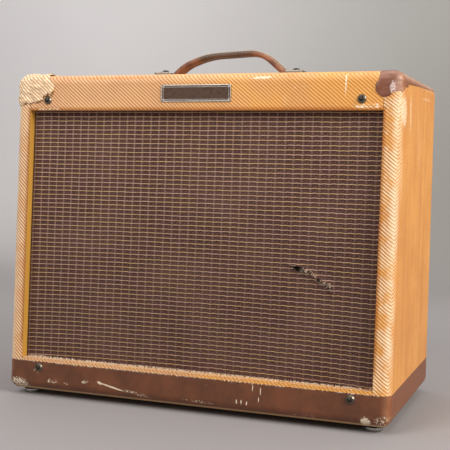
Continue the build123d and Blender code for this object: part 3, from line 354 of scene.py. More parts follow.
def tweed(name, pale=0.0, patch=False):
    """Lacquered diagonal-weave cloth: slanting rows of twisted yarn, aged, its lacquer gone at the edges,
    with a painted highlight along them.
    """
    s = Shader(name)
    side, level = s.facing()
    forward = 0.0 if patch else s.math("LESS_THAN", s.y, 0.0)
    front = s.times(s.minus(1.0, s.most(side, level)), forward)
    left = s.math("LESS_THAN", s.x, -OPENING_HALF / MM)
    right = s.math("GREATER_THAN", s.x, OPENING_HALF / MM)
    row, along = stripe_rows(s, side, level, left, right)
    stripe = s.wave(row, 1.0)
    yarn = s.wave(s.add(along, s.times(row, 1.9)), YARN_PITCH)
    fuzz = s.noise(s.point, 1.4, 3, 0.7)
    age = s.noise(s.point, 0.011, 4, 0.6)

    dark, light = yarn_colours(s, side, s.times(s.add(left, right), s.minus(1.0, side)), age)
    lit = s.step(s.add(stripe, s.times(s.minus(fuzz, 0.5), 0.5)), 0.22, 0.72)
    colour = s.mix(lit, dark, light)
    colour = s.mix(s.times(s.minus(1.0, yarn), 0.22), colour, srgb(150, 92, 44))
    colour = lacquer(s, colour, side, age)
    # Paler along the rounded edges from wear and a painted highlight, in the bare cloth's colour.
    worn_and_highlight = lacquer_loss_and_highlight(s, pale)
    bare = s.mix(stripe, srgb(196, 158, 116) if patch else srgb(222, 190, 152), srgb(250, 234, 206))
    colour = s.mix(s.times(worn_and_highlight, 0.72), colour, bare)
    colour = opening_shades(s, colour, side, front, fuzz)
    colour = tweed_marks(s, colour, front)
    seam = s.times(s.step(s.size(s.minus(s.size(s.x), OPENING_HALF / MM)), 0.9, 0.2), front)
    colour = s.mix(s.times(seam, 0.6), colour, srgb(120, 72, 34))

    height = s.add(s.times(stripe, 0.8), s.add(s.times(yarn, 0.25), s.times(s.wave(row, 1 / 3), 0.12)))
    s.bump(s.minus(s.add(height, s.times(fuzz, 0.35)), seam), 0.45, 0.75)
    return s.finish(colour, s.line(worn_and_highlight, 0.22, 0.52), specular=0.35)


# ---------- leatherette and leather


def leatherette(name, base, worn_and_highlight_colour, scuffs, bare=(246, 228, 200)):
    """Brown embossed book cloth, scuffed along its edges down to the cream backing, and paler on its rounded
    edges from wear and a painted highlight.
    """
    s = Shader(name)
    grain = s.cells(s.point, 1.1)
    fine = s.noise(s.point, 2.6, 4, 0.6)
    blotch = s.noise(s.point, 0.035, 4, 0.6)
    colour = s.mix(s.step(blotch, 0.3, 0.7), shade(base, 0.80), srgb(*base))
    colour = s.mix(s.times(s.step(fine, 0.45, 0.7), 0.25), colour, shade(base, 0.62))
    # Painted light: faces that look sideways are tinted a lighter orange, as a lit side.
    colour = s.mix(s.times(s.facing()[0], 0.32), colour, srgb(168, 96, 44))

    # Wear and painted highlight: the rounded edges are painted in the paler edge colour.
    edge = edge_nearness(s, 12.0)
    bottom = s.step(s.z, GROUND / MM + 7, GROUND / MM + 1)
    rub = s.step(s.noise(s.point, 0.10, 5, 0.7), 0.42, 0.62)
    edge_wear_and_highlight = s.times(s.most(edge, s.times(bottom, 0.6)), s.line(rub, 0.4, 0.25))
    colour = s.mix(edge_wear_and_highlight, colour, srgb(*worn_and_highlight_colour))
    slant = s.times(s.add(s.x, s.times(s.z, 0.8)), 0.12)
    slanted = s.noise(s.vector(slant, s.times(s.y, 0.12), s.times(s.z, 1.6)), 0.5, 3, 0.6)
    scratch = s.times(s.step(slanted, 0.735, 0.75), s.step(s.noise(s.point, 0.02, 2), 0.5, 0.6))
    colour = s.mix(s.times(scratch, 0.75), colour, srgb(205, 178, 150))
    chips = s.step(s.noise(s.point, 0.22, 5, 0.75), 0.735, 0.75)
    chips = s.times(chips, s.line(s.most(edge, bottom), 0.9, 0.05))
    colour = s.mix(chips, colour, srgb(226, 205, 176))
    # These marks are scuffs down to the backing on the wrap, and a painted highlight on the corner patch.
    scuffed = s.times(s.marks(s.x, s.z, scuffs), s.math("LESS_THAN", s.y, -60))
    colour = s.mix(s.times(scuffed, 0.85), colour, s.mix(fine, shade(bare, 0.84), srgb(*bare)))
    fold = s.step(s.z, GROUND / MM + 4.6, GROUND / MM + 3.4)
    colour = s.mix(s.times(fold, 0.75), colour, srgb(196, 156, 108))

    chips = s.most(chips, scuffed)
    streak = s.noise(s.stretched(s.point, (0.05, 0.05, 1.5)), 1.0, 3, 0.6)
    height = s.add(s.times(grain, 0.6), s.add(s.times(fine, 0.4), s.times(streak, 0.2)))
    s.bump(s.minus(height, s.times(chips, 0.8)), 0.25, 0.55)
    return s.finish(colour, s.line(fine, 0.25, s.line(chips, 0.3, 0.28)), specular=0.45)


def leather(name):
    """Strap leather: reddish tan, darkened and greyed where hands hold it, creased across."""
    s = Shader(name)
    pebble = s.cells(s.point, 0.9)
    crease = s.noise(s.stretched(s.point, (0.9, 0.12, 0.9)), 1.0, 4, 0.65)
    cloud = s.noise(s.point, 0.06, 4, 0.6)
    held = s.step(s.add(s.size(s.add(s.x, 5.0)), s.times(cloud, 22.0)), 62.0, 34.0)
    grimy = s.mix(s.step(crease, 0.4, 0.6), srgb(46, 34, 28), srgb(98, 82, 70))
    colour = s.mix(s.step(cloud, 0.3, 0.7), srgb(92, 54, 38), srgb(140, 90, 64))
    colour = s.mix(s.times(held, 0.85), colour, grimy)
    colour = s.mix(s.times(s.step(crease, 0.62, 0.7), 0.35), colour, srgb(60, 34, 24))
    s.bump(s.add(s.times(pebble, 0.5), crease), 0.3, 0.6)
    return s.finish(colour, s.line(crease, 0.3, 0.30), specular=0.45)


# ---------- grille cloth's weave

GRILLE_ROW = 5.6
GRILLE_UPRIGHT = 11.1
GRILLE_YARN = 1.1
GRILLE_SAG = 0.0000875


def cloth_noise(s, across, up, run, rise, roughness=0.6):
    """Noise in the grille cloth's own directions."""
    return s.noise(s.vector(s.times(across, run), 0.0, s.times(up, rise)), 1.0, 3, roughness)


def grille_weave(name):
    """Brown open-weave speaker cloth: gold and pink rows that sag, paler uprights and dark cells."""
    s = Shader(name)
    drift = s.times(s.minus(s.noise(s.point, 0.03, 2), 0.5), 3.0)
    up = s.add(s.times(s.z, 1 / math.cos(LEAN)), s.times(drift, 0.5))
    up = s.add(up, s.times(s.times(s.times(s.x, s.x), GRILLE_SAG), s.step(s.z, 330, 60)))
    across = s.add(s.x, s.times(drift, 0.35))
    slack = s.step(s.minus(s.x, s.z), -450, 20)
    ripple = s.math("SINE", s.times(across, 2 * math.pi / GRILLE_UPRIGHT))
    row = s.wave(s.add(up, s.times(ripple, s.line(slack, 0.20, 0.06))), GRILLE_ROW)
    thread = s.wave(across, GRILLE_UPRIGHT)
    faint = s.wave(across, GRILLE_UPRIGHT / 2)
    fine = s.wave(across, GRILLE_YARN)
    fine_up = s.wave(up, GRILLE_YARN)

    patchy = cloth_noise(s, across, up, 0.16, 0.5)
    blotch = cloth_noise(s, across, up, 0.42, 0.30, 0.7)
    pinker = s.step(cloth_noise(s, across, up, 0.02, 0.25, 0.7), 0.4, 0.6)
    gold = s.times(s.step(row, 0.85, 0.99), s.line(patchy, 1.2, 0.20))
    pale = s.times(s.step(thread, 0.88, 0.99), s.line(patchy, 0.7, 0.2))
    pale = s.times(pale, s.line(slack, -0.60, 1.0))
    cell = s.times(s.step(row, 0.50, 0.1), s.step(faint, 0.6, 0.2))
    gap = s.times(s.times(s.step(row, 0.25, 0.50), s.step(row, 0.85, 0.6)), 0.6)

    colour = s.mix(s.step(blotch, 0.35, 0.65), srgb(44, 19, 15), srgb(87, 51, 43))
    colour = s.mix(s.times(gap, 0.8), colour, srgb(28, 12, 10))
    colour = s.mix(s.times(cell, s.line(blotch, 0.9, -0.1)), colour, srgb(132, 104, 98))
    colour = s.mix(s.times(s.least(fine, fine_up), 0.20), colour, srgb(92, 62, 54))
    colour = s.mix(s.times(s.step(faint, 0.84, 0.98), 0.28), colour, srgb(124, 96, 88))
    colour = s.mix(s.times(pale, 0.75), colour, srgb(178, 146, 130))
    gilt = s.mix(pinker, srgb(214, 176, 156), srgb(216, 182, 128))
    colour = s.mix(s.times(gold, 0.95), colour, gilt)
    colour = s.mix(s.line(s.step(s.z, 60, 400), -0.24, 0.34), colour, srgb(36, 14, 10))
    fade = s.noise(s.point, 0.012, 3, 0.6)
    colour = s.mix(s.times(s.step(fade, 0.35, 0.7), 0.08), colour, srgb(150, 118, 104))

    height = s.add(s.times(thread, 0.5), s.times(s.times(fine, fine_up), 0.6))
    height = s.add(s.times(row, 0.8), height)
    s.bump(s.add(height, s.times(s.noise(s.point, 1.6, 4, 0.7), 0.3)), 0.5, 0.6)
    return s.finish(colour, 0.75, specular=0.2)


# ---------- other materials


def wood(name, light, dark, ring=2.2):
    """Board with long grain along X or Z, a few darker stains and pores."""
    s = Shader(name)
    mixer = s.node("ShaderNodeMix", data_type="VECTOR")
    s.feed(mixer.inputs[0], s.facing()[0])
    s.feed(mixer.inputs[4], s.stretched(s.point, (0.012, 0.12, 0.12)))
    s.feed(mixer.inputs[5], s.stretched(s.point, (0.12, 0.12, 0.012)))
    along = mixer.outputs[1]
    rings = s.wave(s.times(s.noise(along, 1.0, 4, 0.6), 30.0), ring)
    pores = s.noise(along, 14.0, 3, 0.6)
    stain = s.noise(s.point, 0.015, 4, 0.6)
    colour = s.mix(s.times(rings, 0.55), srgb(*light), srgb(*dark))
    colour = s.mix(s.times(s.step(pores, 0.5, 0.75), 0.35), colour, shade(dark, 0.7))
    colour = s.mix(s.times(s.step(stain, 0.5, 0.8), 0.35), colour, shade(dark, 0.6))
    s.bump(s.add(rings, s.times(pores, 0.7)), 0.15, 0.4)
    return s.finish(colour, s.line(pores, 0.2, 0.52), specular=0.3)


def metal(name, colour, roughness, scratches=0.3, tarnish=(90, 78, 62), tarnish_share=0.25):
    """Plated or bare metal with fine wear marks and a little tarnish."""
    s = Shader(name)
    cloud = s.noise(s.point, 0.22, 4, 0.65)
    tint = s.mix(s.times(s.step(cloud, 0.5, 0.75), tarnish_share), srgb(*colour), srgb(*tarnish))
    s.bump(s.noise(s.stretched(s.point, (0.4, 3.0, 3.0)), 1.6, 4, 0.7), 0.05, scratches)
    return s.finish(tint, s.line(s.step(cloud, 0.4, 0.75), 0.22, roughness), metallic=1.0)


def plastic(name, colour, roughness=0.28):
    """Moulded phenolic with faint flow marks and dust."""
    s = Shader(name)
    flow = s.noise(s.point, 0.12, 4, 0.6)
    dust = s.noise(s.point, 1.8, 4, 0.7)
    milky = srgb(*[part + 60 for part in colour])
    tint = s.mix(s.times(s.step(flow, 0.35, 0.75), 0.1), srgb(*colour), milky)
    tint = s.mix(s.times(s.step(dust, 0.6, 0.8), 0.12), tint, srgb(170, 160, 148))
    s.bump(dust, 0.04, 0.2)
    return s.finish(tint, s.line(dust, 0.2, roughness), specular=0.5)


def matt(name, colour, grain_scale=0.8, depth=0.12, roughness=0.85, vary=0.25):
    """Paper, card, rubber and other plain matt stuff with a visible grain."""
    s = Shader(name)
    grain = s.noise(s.point, grain_scale, 5, 0.7)
    cloud = s.noise(s.point, 0.05, 3, 0.6)
    paler = srgb(*[min(255, part * 1.35 + 10) for part in colour])
    tint = s.mix(s.step(grain, 0.3, 0.7), shade(colour, 1 - vary), srgb(*colour))
    tint = s.mix(s.times(s.step(cloud, 0.45, 0.75), 0.25), tint, paler)
    s.bump(grain, depth, 0.5)
    return s.finish(tint, roughness, specular=0.25)


def glass(name, colour, alpha, roughness=0.04):
    """Thin blown glass, clear or coloured, with a faint silvery clouding."""
    s = Shader(name)
    cloud = s.noise(s.point, 0.08, 3, 0.6)
    tint = s.mix(s.times(s.step(cloud, 0.4, 0.8), 0.3), srgb(*colour), srgb(150, 150, 146))
    s.bsdf.inputs["Alpha"].default_value = alpha
    s.bump(cloud, 0.1, 0.1)
    return s.finish(tint, roughness, specular=0.7)


def cone_paper(name):
    """Grey-black pulp paper with fine fibres and rings pressed round the speaker's axis."""
    s = Shader(name)
    drop = s.minus(s.z, (GROUND + SPEAKER_UP * math.cos(LEAN)) / MM)
    away = s.math("SQRT", s.add(s.times(s.x, s.x), s.math("POWER", drop, 2.0)))
    rings = s.times(s.wave(away, 4.2), s.step(away, 104, 112))
    fibre = s.noise(s.point, 0.7, 5, 0.75)
    colour = s.mix(s.step(fibre, 0.3, 0.75), srgb(34, 30, 28), srgb(72, 64, 58))
    s.bump(s.add(s.times(rings, 1.4), s.times(fibre, 0.5)), 0.7, 0.6)
    return s.finish(colour, 0.88, specular=0.2)


def floor_paint(name):
    """A plain studio surface: a grey floor, and a backdrop with painted light, paler towards its upper left
    and darker to the right.
    """
    s = Shader(name)
    # Painted light: the backdrop is painted paler at its upper left and darker to the right, as if lit from
    # the left.
    left = s.step(s.x, 150, -1500)
    high = s.times(s.step(s.z, 200, 1300), 0.7)
    backdrop = s.mix(left, srgb(141, 139, 134), srgb(203, 200, 201))
    backdrop = s.mix(high, backdrop, s.mix(left, srgb(182, 181, 180), srgb(244, 243, 246)))
    paint = s.mix(s.step(s.y, 700, 2000), srgb(147, 143, 144), backdrop)
    paint = s.mix(s.times(s.noise(s.point, 0.004, 3, 0.5), 0.06), paint, srgb(120, 116, 112))
    return s.finish(paint, 0.7, specular=0.2)


TWEED = tweed("tweed_cloth")
PALE_TWEED = tweed("tweed_patch", pale=0.9, patch=True)
WRAP = leatherette("brown_leatherette", (110, 63, 38), (170, 118, 84), WRAP_SCUFFS)
# The right patch's edge colour and mark colour are painted highlight colours for its rounding.
PATCH = leatherette("patch_leatherette", (134, 78, 54), (222, 188, 164), PATCH_HIGHLIGHT_MARK, (236, 212, 204))
GRILLE = grille_weave("grille_weave")
PINE = wood("pine_board", (214, 178, 128), (186, 138, 84))
PLY = wood("baffle_ply", (58, 46, 38), (34, 26, 22), ring=1.4)
NICKEL = metal("nickel_plate", (205, 200, 192), 0.26)
CHROME = metal("chrome_plate", (214, 214, 212), 0.14, 0.03, tarnish_share=0.10)
SATIN = metal("satin_panel", (200, 199, 196), 0.36, 0.05, tarnish_share=0.15)
STEEL = metal("zinc_steel", (168, 166, 160), 0.38)
GLIDE = metal("glide_steel", (196, 194, 190), 0.24)
AGED = metal("aged_washers", (118, 110, 98), 0.30, tarnish=(50, 42, 34), tarnish_share=0.6)
BRACKET = metal("bracket_plate", (150, 142, 130), 0.42, tarnish=(70, 58, 46), tarnish_share=0.5)
BLUED = metal("blued_screws", (64, 58, 54), 0.42, tarnish=(92, 60, 40))
PLATE = metal("plate_enamel", (88, 70, 60), 0.45, tarnish=(52, 40, 36), tarnish_share=0.5)
ELECTRODE = metal("electrode_nickel", (88, 86, 84), 0.5)
RIM = metal("plate_rim", (206, 202, 196), 0.30)
IRON = matt("black_iron", (38, 36, 35), roughness=0.5)
FIBRE = matt("fibre_board", (58, 46, 36))
CARD = matt("speaker_gasket_card", (112, 92, 70))
CONE = cone_paper("cone_paper")
CAP_CARD = matt("capacitor_card", (196, 158, 92), depth=0.05)
RUBBER = matt("black_rubber", (30, 29, 28), roughness=0.75)
BLACK = plastic("black_phenolic", (24, 22, 21))
BROWN = plastic("brown_phenolic", (70, 38, 24), 0.35)
CLEAR = glass("valve_glass", (206, 212, 210), 0.28)
JEWEL = glass("jewel_glass", (190, 22, 18), 1.0, 0.06)
STRAP = leather("strap_leather")
THREAD = matt("waxed_thread", (206, 180, 138), 1.6, 0.1)
FRAY = matt("frayed_yarn", (246, 234, 214), 1.8, 0.1, vary=0.12)
TORN = matt("torn_yarn", (212, 182, 158), 1.8, 0.1)
INK = matt("panel_ink", (28, 26, 26), 1.5, 0.02, 0.6)

FINISH = {
    "cabinet_top": PINE, "cabinet_bottom": PINE, "cabinet_side_left": PINE, "cabinet_side_right": PINE,
    "front_top_rail": PINE, "front_bottom_rail": PINE, "back_cleats": PINE, "baffle_board": PLY,
    "grille_cloth": GRILLE, "tweed_cover": TWEED, "leatherette_wrap": WRAP,
    "corner_patch_right": PATCH, "corner_patch_left": PALE_TWEED,
    "cabinet_screws": BLUED, "finishing_washers": AGED, "name_plate": PLATE, "name_plate_pins": NICKEL,
    "handle_strap": STRAP, "handle_brackets": BRACKET, "handle_bolts": BLUED,
    "foot_glides": GLIDE, "foot_cushions": RUBBER, "back_panel_upper": TWEED, "back_panel_lower": TWEED,
    "chassis": SATIN, "chassis_bolts": NICKEL, "mains_grommet": RUBBER, "panel_nuts": NICKEL,
    "instrument_volume_shaft": STEEL, "microphone_volume_shaft": STEEL, "tone_shaft": STEEL,
    "instrument_volume_knob": BLACK, "microphone_volume_knob": BLACK, "tone_knob": BLACK,
    "potentiometers": STEEL, "input_jacks": NICKEL, "power_switch_body": STEEL,
    "power_switch_lever": NICKEL, "fuse_holder": BLACK, "fuse_cap": BLACK, "pilot_bezel": CHROME,
    "pilot_jewel": JEWEL, "valve_sockets": BROWN, "octal_valve_bases": BROWN,
    "octal_valve_glass": CLEAR, "small_valve_glass": CLEAR,
    "power_transformer_core": STEEL, "power_transformer_bells": IRON, "output_transformer": IRON,
    "eyelet_board": FIBRE, "filter_capacitors": CAP_CARD, "board_components": BROWN,
    "speaker_gasket": CARD, "speaker_basket": STEEL, "speaker_cone": CONE, "dust_cap": CONE,
    "speaker_magnet": IRON, "speaker_bolts": NICKEL,
}
for node_name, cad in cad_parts.items():
    cad.data.materials.clear()
    cad.data.materials.append(FINISH[node_name])


# ---------- building pieces


def new_mesh(name, vertices, faces, material, smooth=True):
    """An object in the scene with one mesh and one material."""
    mesh = bpy.data.meshes.new(name)
    mesh.from_pydata([tuple(v) for v in vertices], [], faces)
    mesh.materials.append(material)
    mesh.polygons.foreach_set("use_smooth", [smooth] * len(mesh.polygons))
    mesh.update()
    made = bpy.data.objects.new(name, mesh)
    bpy.context.scene.collection.objects.link(made)
    return made


def add_piece(name, vertices, faces, material, body="cabinet", smooth=True):
    """A finished mesh piece that moves with a CAD body."""
    made = new_mesh(name, vertices, faces, material, smooth)
    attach(made, body)
    return made


def clean_up(made, soften=False):
    """Drops the vertices that no face uses, and can soften the sheet that is left."""
    bm = bmesh.new()
    bm.from_mesh(made.data)
    bmesh.ops.delete(bm, geom=[v for v in bm.verts if not v.link_faces], context="VERTS")
    if soften:
        bmesh.ops.smooth_vert(
            bm, verts=bm.verts, factor=0.5, use_axis_x=True, use_axis_y=True, use_axis_z=True)
        bmesh.ops.recalc_face_normals(bm, faces=bm.faces)
    bm.to_mesh(made.data)
    bm.free()


class Parts:
    """Gathers many small shapes into the vertices and faces of one mesh."""

    def __init__(self):
        self.vertices = []
        self.faces = []

    def put(self, vertices, faces):
        start = len(self.vertices)
        self.vertices.extend(vertices)
        self.faces.extend([[start + i for i in face] for face in faces])

    def rings(self, rings):
        """A skin over rings of points, with closed ends."""
        sides = len(rings[0])
        faces = []
        for i in range(len(rings) - 1):
            for k in range(sides):
                a, b = i * sides + k, i * sides + (k + 1) % sides
                faces.append([a, b, b + sides, a + sides])
        last = (len(rings) - 1) * sides
        faces += [list(range(sides))[::-1], [last + k for k in range(sides)]]
        self.put([v for ring in rings for v in ring], faces)

    def tube(self, points, radius, sides=6, taper=1.0):
        """A round thread through the points."""
        points = [Vector(p) for p in points]
        rings = []
        side = None
        for i, p in enumerate(points):
            ahead = (points[min(i + 1, len(points) - 1)] - points[max(i - 1, 0)]).normalized()
            side = (side - ahead * side.dot(ahead)) if side else ahead.orthogonal()
            side.normalize()
            other = ahead.cross(side)
            r = radius * (1 + (taper - 1) * i / (len(points) - 1))
            turn = [2 * math.pi * k / sides for k in range(sides)]
            rings.append([p + (side * math.cos(a) + other * math.sin(a)) * r for a in turn])
        self.rings(rings)

    def turned(self, profile, centre, sides=24):
        """A shape turned round an upright axis, from (radius, height) pairs."""
        axis = Vector((0, 0, 1))
        side = axis.orthogonal().normalized()
        other = axis.cross(side)
        rings = []
        for radius, height in profile:
            turn = [2 * math.pi * k / sides for k in range(sides)]
            middle = centre + axis * height
            rings.append([middle + (side * math.cos(a) + other * math.sin(a)) * radius for a in turn])
        self.rings(rings)

    def piece(self, name, material, body="cabinet", smooth=True):
        return add_piece(name, self.vertices, self.faces, material, body, smooth)


def skin(node):
    """The surface of a CAD node, to lay small pieces on."""
    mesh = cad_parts[node].data
    return BVHTree.FromPolygons([v.co for v in mesh.vertices], [list(p.vertices) for p in mesh.polygons])


def spans(node, gap=4 * MM):
    """The stretches along X that a node's separate solids take up."""
    values = sorted(v.co.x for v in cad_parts[node].data.vertices)
    found = [[values[0], values[0]]]
    for value in values:
        if value - found[-1][1] > gap:
            found.append([value, value])
        found[-1][1] = value
    return found


# ---------- grille cloth with its tear

CLOTH_HALF = 232 * MM
CLOTH_LOW = 22 * MM
CLOTH_HIGH = 388.5 * MM
MESH_STEP = 4.0
FINE_STEP = 0.55

# The tear's line over the cloth, in millimetres: across, up the slope, and how wide it gapes.
TEAR = [
    (127.2, 182.4, 0.2), (131, 179.6, 2.4), (137, 177.8, 3.2), (144, 175.7, 2.5), (148, 174.4, 0.5),
    (152.3, 173.3, 2.5), (156, 170.8, 0.4), (160, 167.2, 0.6), (163.5, 164.5, 2.8), (167.5, 162.4, 0.5),
    (172, 160.4, 3.6), (175.5, 157.0, 1.6), (177.1, 153.6, 0.3),
]
TEAR_THREADS = 64


def tear_distance(x, up):
    """How far a point is from the torn line and how wide the tear gapes there, in millimetres."""
    best, width = 1e9, 0.0
    for (ax, ay, wide_a), (bx, by, wide_b) in zip(TEAR, TEAR[1:]):
        length = (bx - ax) ** 2 + (by - ay) ** 2
        t = max(0.0, min(1.0, ((x - ax) * (bx - ax) + (up - ay) * (by - ay)) / length))
        d = math.hypot(x - ax - t * (bx - ax), up - ay - t * (by - ay))
        if d < best:
            best, width = d, wide_a * (1 - t) + wide_b * t
    return best, width


def graded(low, high, fine_low, fine_high):
    """Grid lines from low to high, in millimetres, close together between fine_low and fine_high."""
    low, high = low / MM, high / MM
    lines = [low]
    while lines[-1] < high:
        here = lines[-1]
        lines.append(here + (FINE_STEP if fine_low <= here < fine_high else MESH_STEP))
    lines[-1] = high
    return lines


def inside_opening(x, up):
    """0 at the opening's border and outside it, rising to 1 ten millimetres in."""
    from_side = OPENING_HALF / MM - abs(x)
    from_low = up - OPENING_LOW / MM
    from_high = OPENING_HIGH / MM - up
    free = [min(1.0, max(0.0, (distance - 2) / 10)) for distance in (from_side, from_low, from_high)]
    return free[0] * min(free[1], free[2])


def make_grille():
    """The cloth, drawn tight over the baffle, a little slack and lifted round its tear."""
    columns = graded(-CLOTH_HALF, CLOTH_HALF, 122, 184)
    rows = graded(CLOTH_LOW, CLOTH_HIGH, 147, 187)
    vertices, open_here = [], []
    for up in rows:
        for x in columns:
            d, width = tear_distance(x, up)
            ragged = width * (0.75 + 0.9 * noise.noise(Vector((x * 0.9, up * 0.9, 0))))
            slack = noise.noise(Vector((x * 0.02, up * 0.02, 4))) * 0.35
            curl = 1.4 + 1.2 * noise.noise(Vector((x * 0.2, up * 0.2, 9)))
            lift = math.exp(-(max(0.0, d - width) / 3.5) ** 2) * curl
            out = (0.15 + slack + lift) * inside_opening(x, up) - 0.3
            vertices.append(on_front(x * MM, up * MM, out * MM - RECESS))
            open_here.append(d < ragged and width > 0.8)
    wide = len(columns)
    faces = []
    for r in range(len(rows) - 1):
        for c in range(wide - 1):
            corners = [r * wide + c, r * wide + c + 1, (r + 1) * wide + c + 1, (r + 1) * wide + c]
            if not any(open_here[i] for i in corners):
                faces.append(corners)
    cloth = add_piece("grille_sheet", vertices, faces, GRILLE)
    clean_up(cloth)
    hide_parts("grille_cloth")
    return cloth


def make_tear_threads():
    """Broken yarns that reach across the tear from either side, most of them at its lower end."""
    random.seed(5)
    threads = Parts()
    for _ in range(TEAR_THREADS):
        i = random.choice((0, 2, 3, 4, 5, 6, 7, 8, 9, 9, 10, 10, 11, 11))
        t = random.random()
        x, up, width = [a * (1 - t) + b * t for a, b in zip(TEAR[i], TEAR[i + 1])]
        width += 0.6
        side = random.choice((-1, 1))
        angle = math.radians(random.gauss(62, 24)) * side
        start_x, start_up = x + math.cos(angle) * width * 1.2, up + math.sin(angle) * width * 1.2
        reach = random.uniform(0.8, 2.3) * width
        bend = random.uniform(-0.8, 0.8)
        points = []
        for k in range(7):
            f = k / 6
            px = start_x - math.cos(angle + bend * f) * reach * f
            py = start_up - math.sin(angle + bend * f) * reach * f
            points.append(on_front(px * MM, py * MM, -RECESS + (0.9 + 1.6 * math.sin(f * 2.4)) * MM))
        threads.tube(points, random.uniform(0.14, 0.26) * MM, sides=5, taper=0.5)
    return threads.piece("tear_threads", TORN)


grille = make_grille()
tear_threads = make_tear_threads()


# ---------- frayed cloth edges


def fray(name, line, count, reach, seed, spread=0.7, radius=0.22):
    """Short loose yarns along a line, each a curved thread. line(t) gives a point and two directions."""
    random.seed(seed)
    threads = Parts()
    for _ in range(count):
        start, out, up = line(random.random())
        lean = random.gauss(0, spread)
        side = out.cross(up).normalized()
        length = reach * random.uniform(0.4, 1.0) * MM
        curl = random.uniform(0.2, 1.1)
        points = []
        for k in range(6):
            f = k / 5
            ahead = up * math.cos(lean) + side * math.sin(lean) * f
            points.append(start + ahead * length * f + out * length * 0.35 * math.sin(curl * f * 2.2))
        threads.tube(points, random.uniform(0.6, 1.0) * radius * MM, sides=5, taper=0.5)
    threads.piece(name, FRAY)


def rail_edge(t):
    """Along the bottom rail's upper front edge, with the yarns standing up."""
    x = (2 * t - 1) * (OPENING_HALF - 2 * MM)
    drop = abs(noise.noise(Vector((x * 60, 0, 3)))) * 1.2 * MM
    return on_front(x, OPENING_LOW - drop, 0.1 * MM), SLOPE_OUT, SLOPE_UP


def cloth_edge(t):
    """Along the line where the bottom rail meets the grille cloth."""
    x = (2 * t - 1) * (OPENING_HALF - 2 * MM)
    return on_front(x, OPENING_LOW, 0.8 * MM - RECESS), SLOPE_OUT, SLOPE_UP


def wrap_edge(t):
    """Along the leatherette's upper edge, with the yarns hanging down over it."""
    x = (2 * t - 1) * (HALF_WIDTH - EDGE_RADIUS)
    up = (WRAP_LINE - GROUND) / math.cos(LEAN)
    return on_front(x, up, 0.1 * MM), SLOPE_OUT, -SLOPE_UP


fray("rail_fray", rail_edge, 420, 2.2, seed=11)
fray("cloth_edge_fray", cloth_edge, 900, 2.8, seed=13, spread=1.0, radius=0.34)
fray("wrap_line_fray", wrap_edge, 300, 1.8, seed=12)


# ---------- torn corner patches

PATCH_STEP = 0.8 * MM
PATCH_BASE = 0.55
LONGEST_FACE_EDGE = 5 * MM


def patch_spots(node, look):
    """The cover's points and normals under a CAD patch, seen along `look`, by their grid places."""
    cover = skin("tweed_cover")
    patch = skin(node)
    low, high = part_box(node)
    centre = (low + high) / 2
    across = look.cross(Vector((0, 0, 1))).normalized()
    upward = across.cross(look)
    half = int((high - low).length / 2 / PATCH_STEP) + 2
    size = 2 * half + 1
    spots = {}
    for i in range(size):
        for j in range(size):
            start = centre - look * 0.2 + (across * (i - half) + upward * (j - half)) * PATCH_STEP
            on_cover, normal, _, cover_reach = cover.ray_cast(start, look)
            on_patch, _, _, patch_reach = patch.ray_cast(start, look)
            if on_cover and on_patch and patch_reach < cover_reach + 0.05 * MM:
                spots[i, j] = (on_cover, normal)
    return spots, size


def steps_in(places, size):
    """How many grid steps each place is from the border of the places."""
    layer = np.zeros((size, size), bool)
    for i, j in places:
        layer[i, j] = True
    depth = np.zeros((size, size))
    while layer.any():
        depth[layer] += 1
        core = layer.copy()
        core[1:] &= layer[:-1]
        core[:-1] &= layer[1:]
        core[:, 1:] &= layer[:, :-1]
        core[:, :-1] &= layer[:, 1:]
        layer = core
    return depth


def corner_patch(name, node, look, lift, fray_depth, seed, material):
    """A worn skin in place of a CAD patch, with a torn border and swells of up to about `lift` millimetres.

    It is sampled along `look`, which sees all three faces of the corner.
    """
    spots, size = patch_spots(node, Vector(look).normalized())
    depth = steps_in(spots, size)
    offset = Vector((seed, seed * 2.0, 0))
    numbers, vertices = {}, []
    for (i, j), (where, normal) in spots.items():
        place = where / MM
        ragged = fray_depth * (0.6 + 1.6 * noise.noise(place * 0.22 + offset))
        if depth[i, j] <= ragged:
            continue
        swell = 0.35 + 0.8 * noise.noise(place * 0.10 + offset)
        swell += 0.9 * abs(noise.noise(place * 0.16 - offset)) + 0.25 * noise.noise(place * 0.42 + offset)
        rise = PATCH_BASE + lift * max(0.0, swell)
        rise *= min(1.0, (depth[i, j] - ragged) / 2.0)
        numbers[i, j] = len(vertices)
        vertices.append(where + normal * rise * MM)
    faces = []
    for i, j in numbers:
        corners = [(i, j), (i + 1, j), (i + 1, j + 1), (i, j + 1)]
        if all(c in numbers for c in corners):
            ring = [numbers[c] for c in corners]
            edges = [(vertices[ring[k]] - vertices[ring[k - 1]]).length for k in range(4)]
            if max(edges) < LONGEST_FACE_EDGE:
                faces.append(ring)
    made = add_piece(name, vertices, faces, material)
    clean_up(made, soften=True)
    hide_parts(node)


corner_patch("torn_patch_left", "corner_patch_left", (1, 1, -1), 2.6, 2.4, 3.0, PALE_TWEED)
corner_patch("torn_patch_right", "corner_patch_right", (-1, 1, -1), 0.4, 0.9, 8.0, PATCH)


# ---------- handle stitching

STITCH = 3.1 * MM
STITCH_PITCH = 4.3 * MM
STITCH_RADIUS = 0.42 * MM
STITCH_ROW = 8.3 * MM
STITCH_FREE_END = 24 * MM


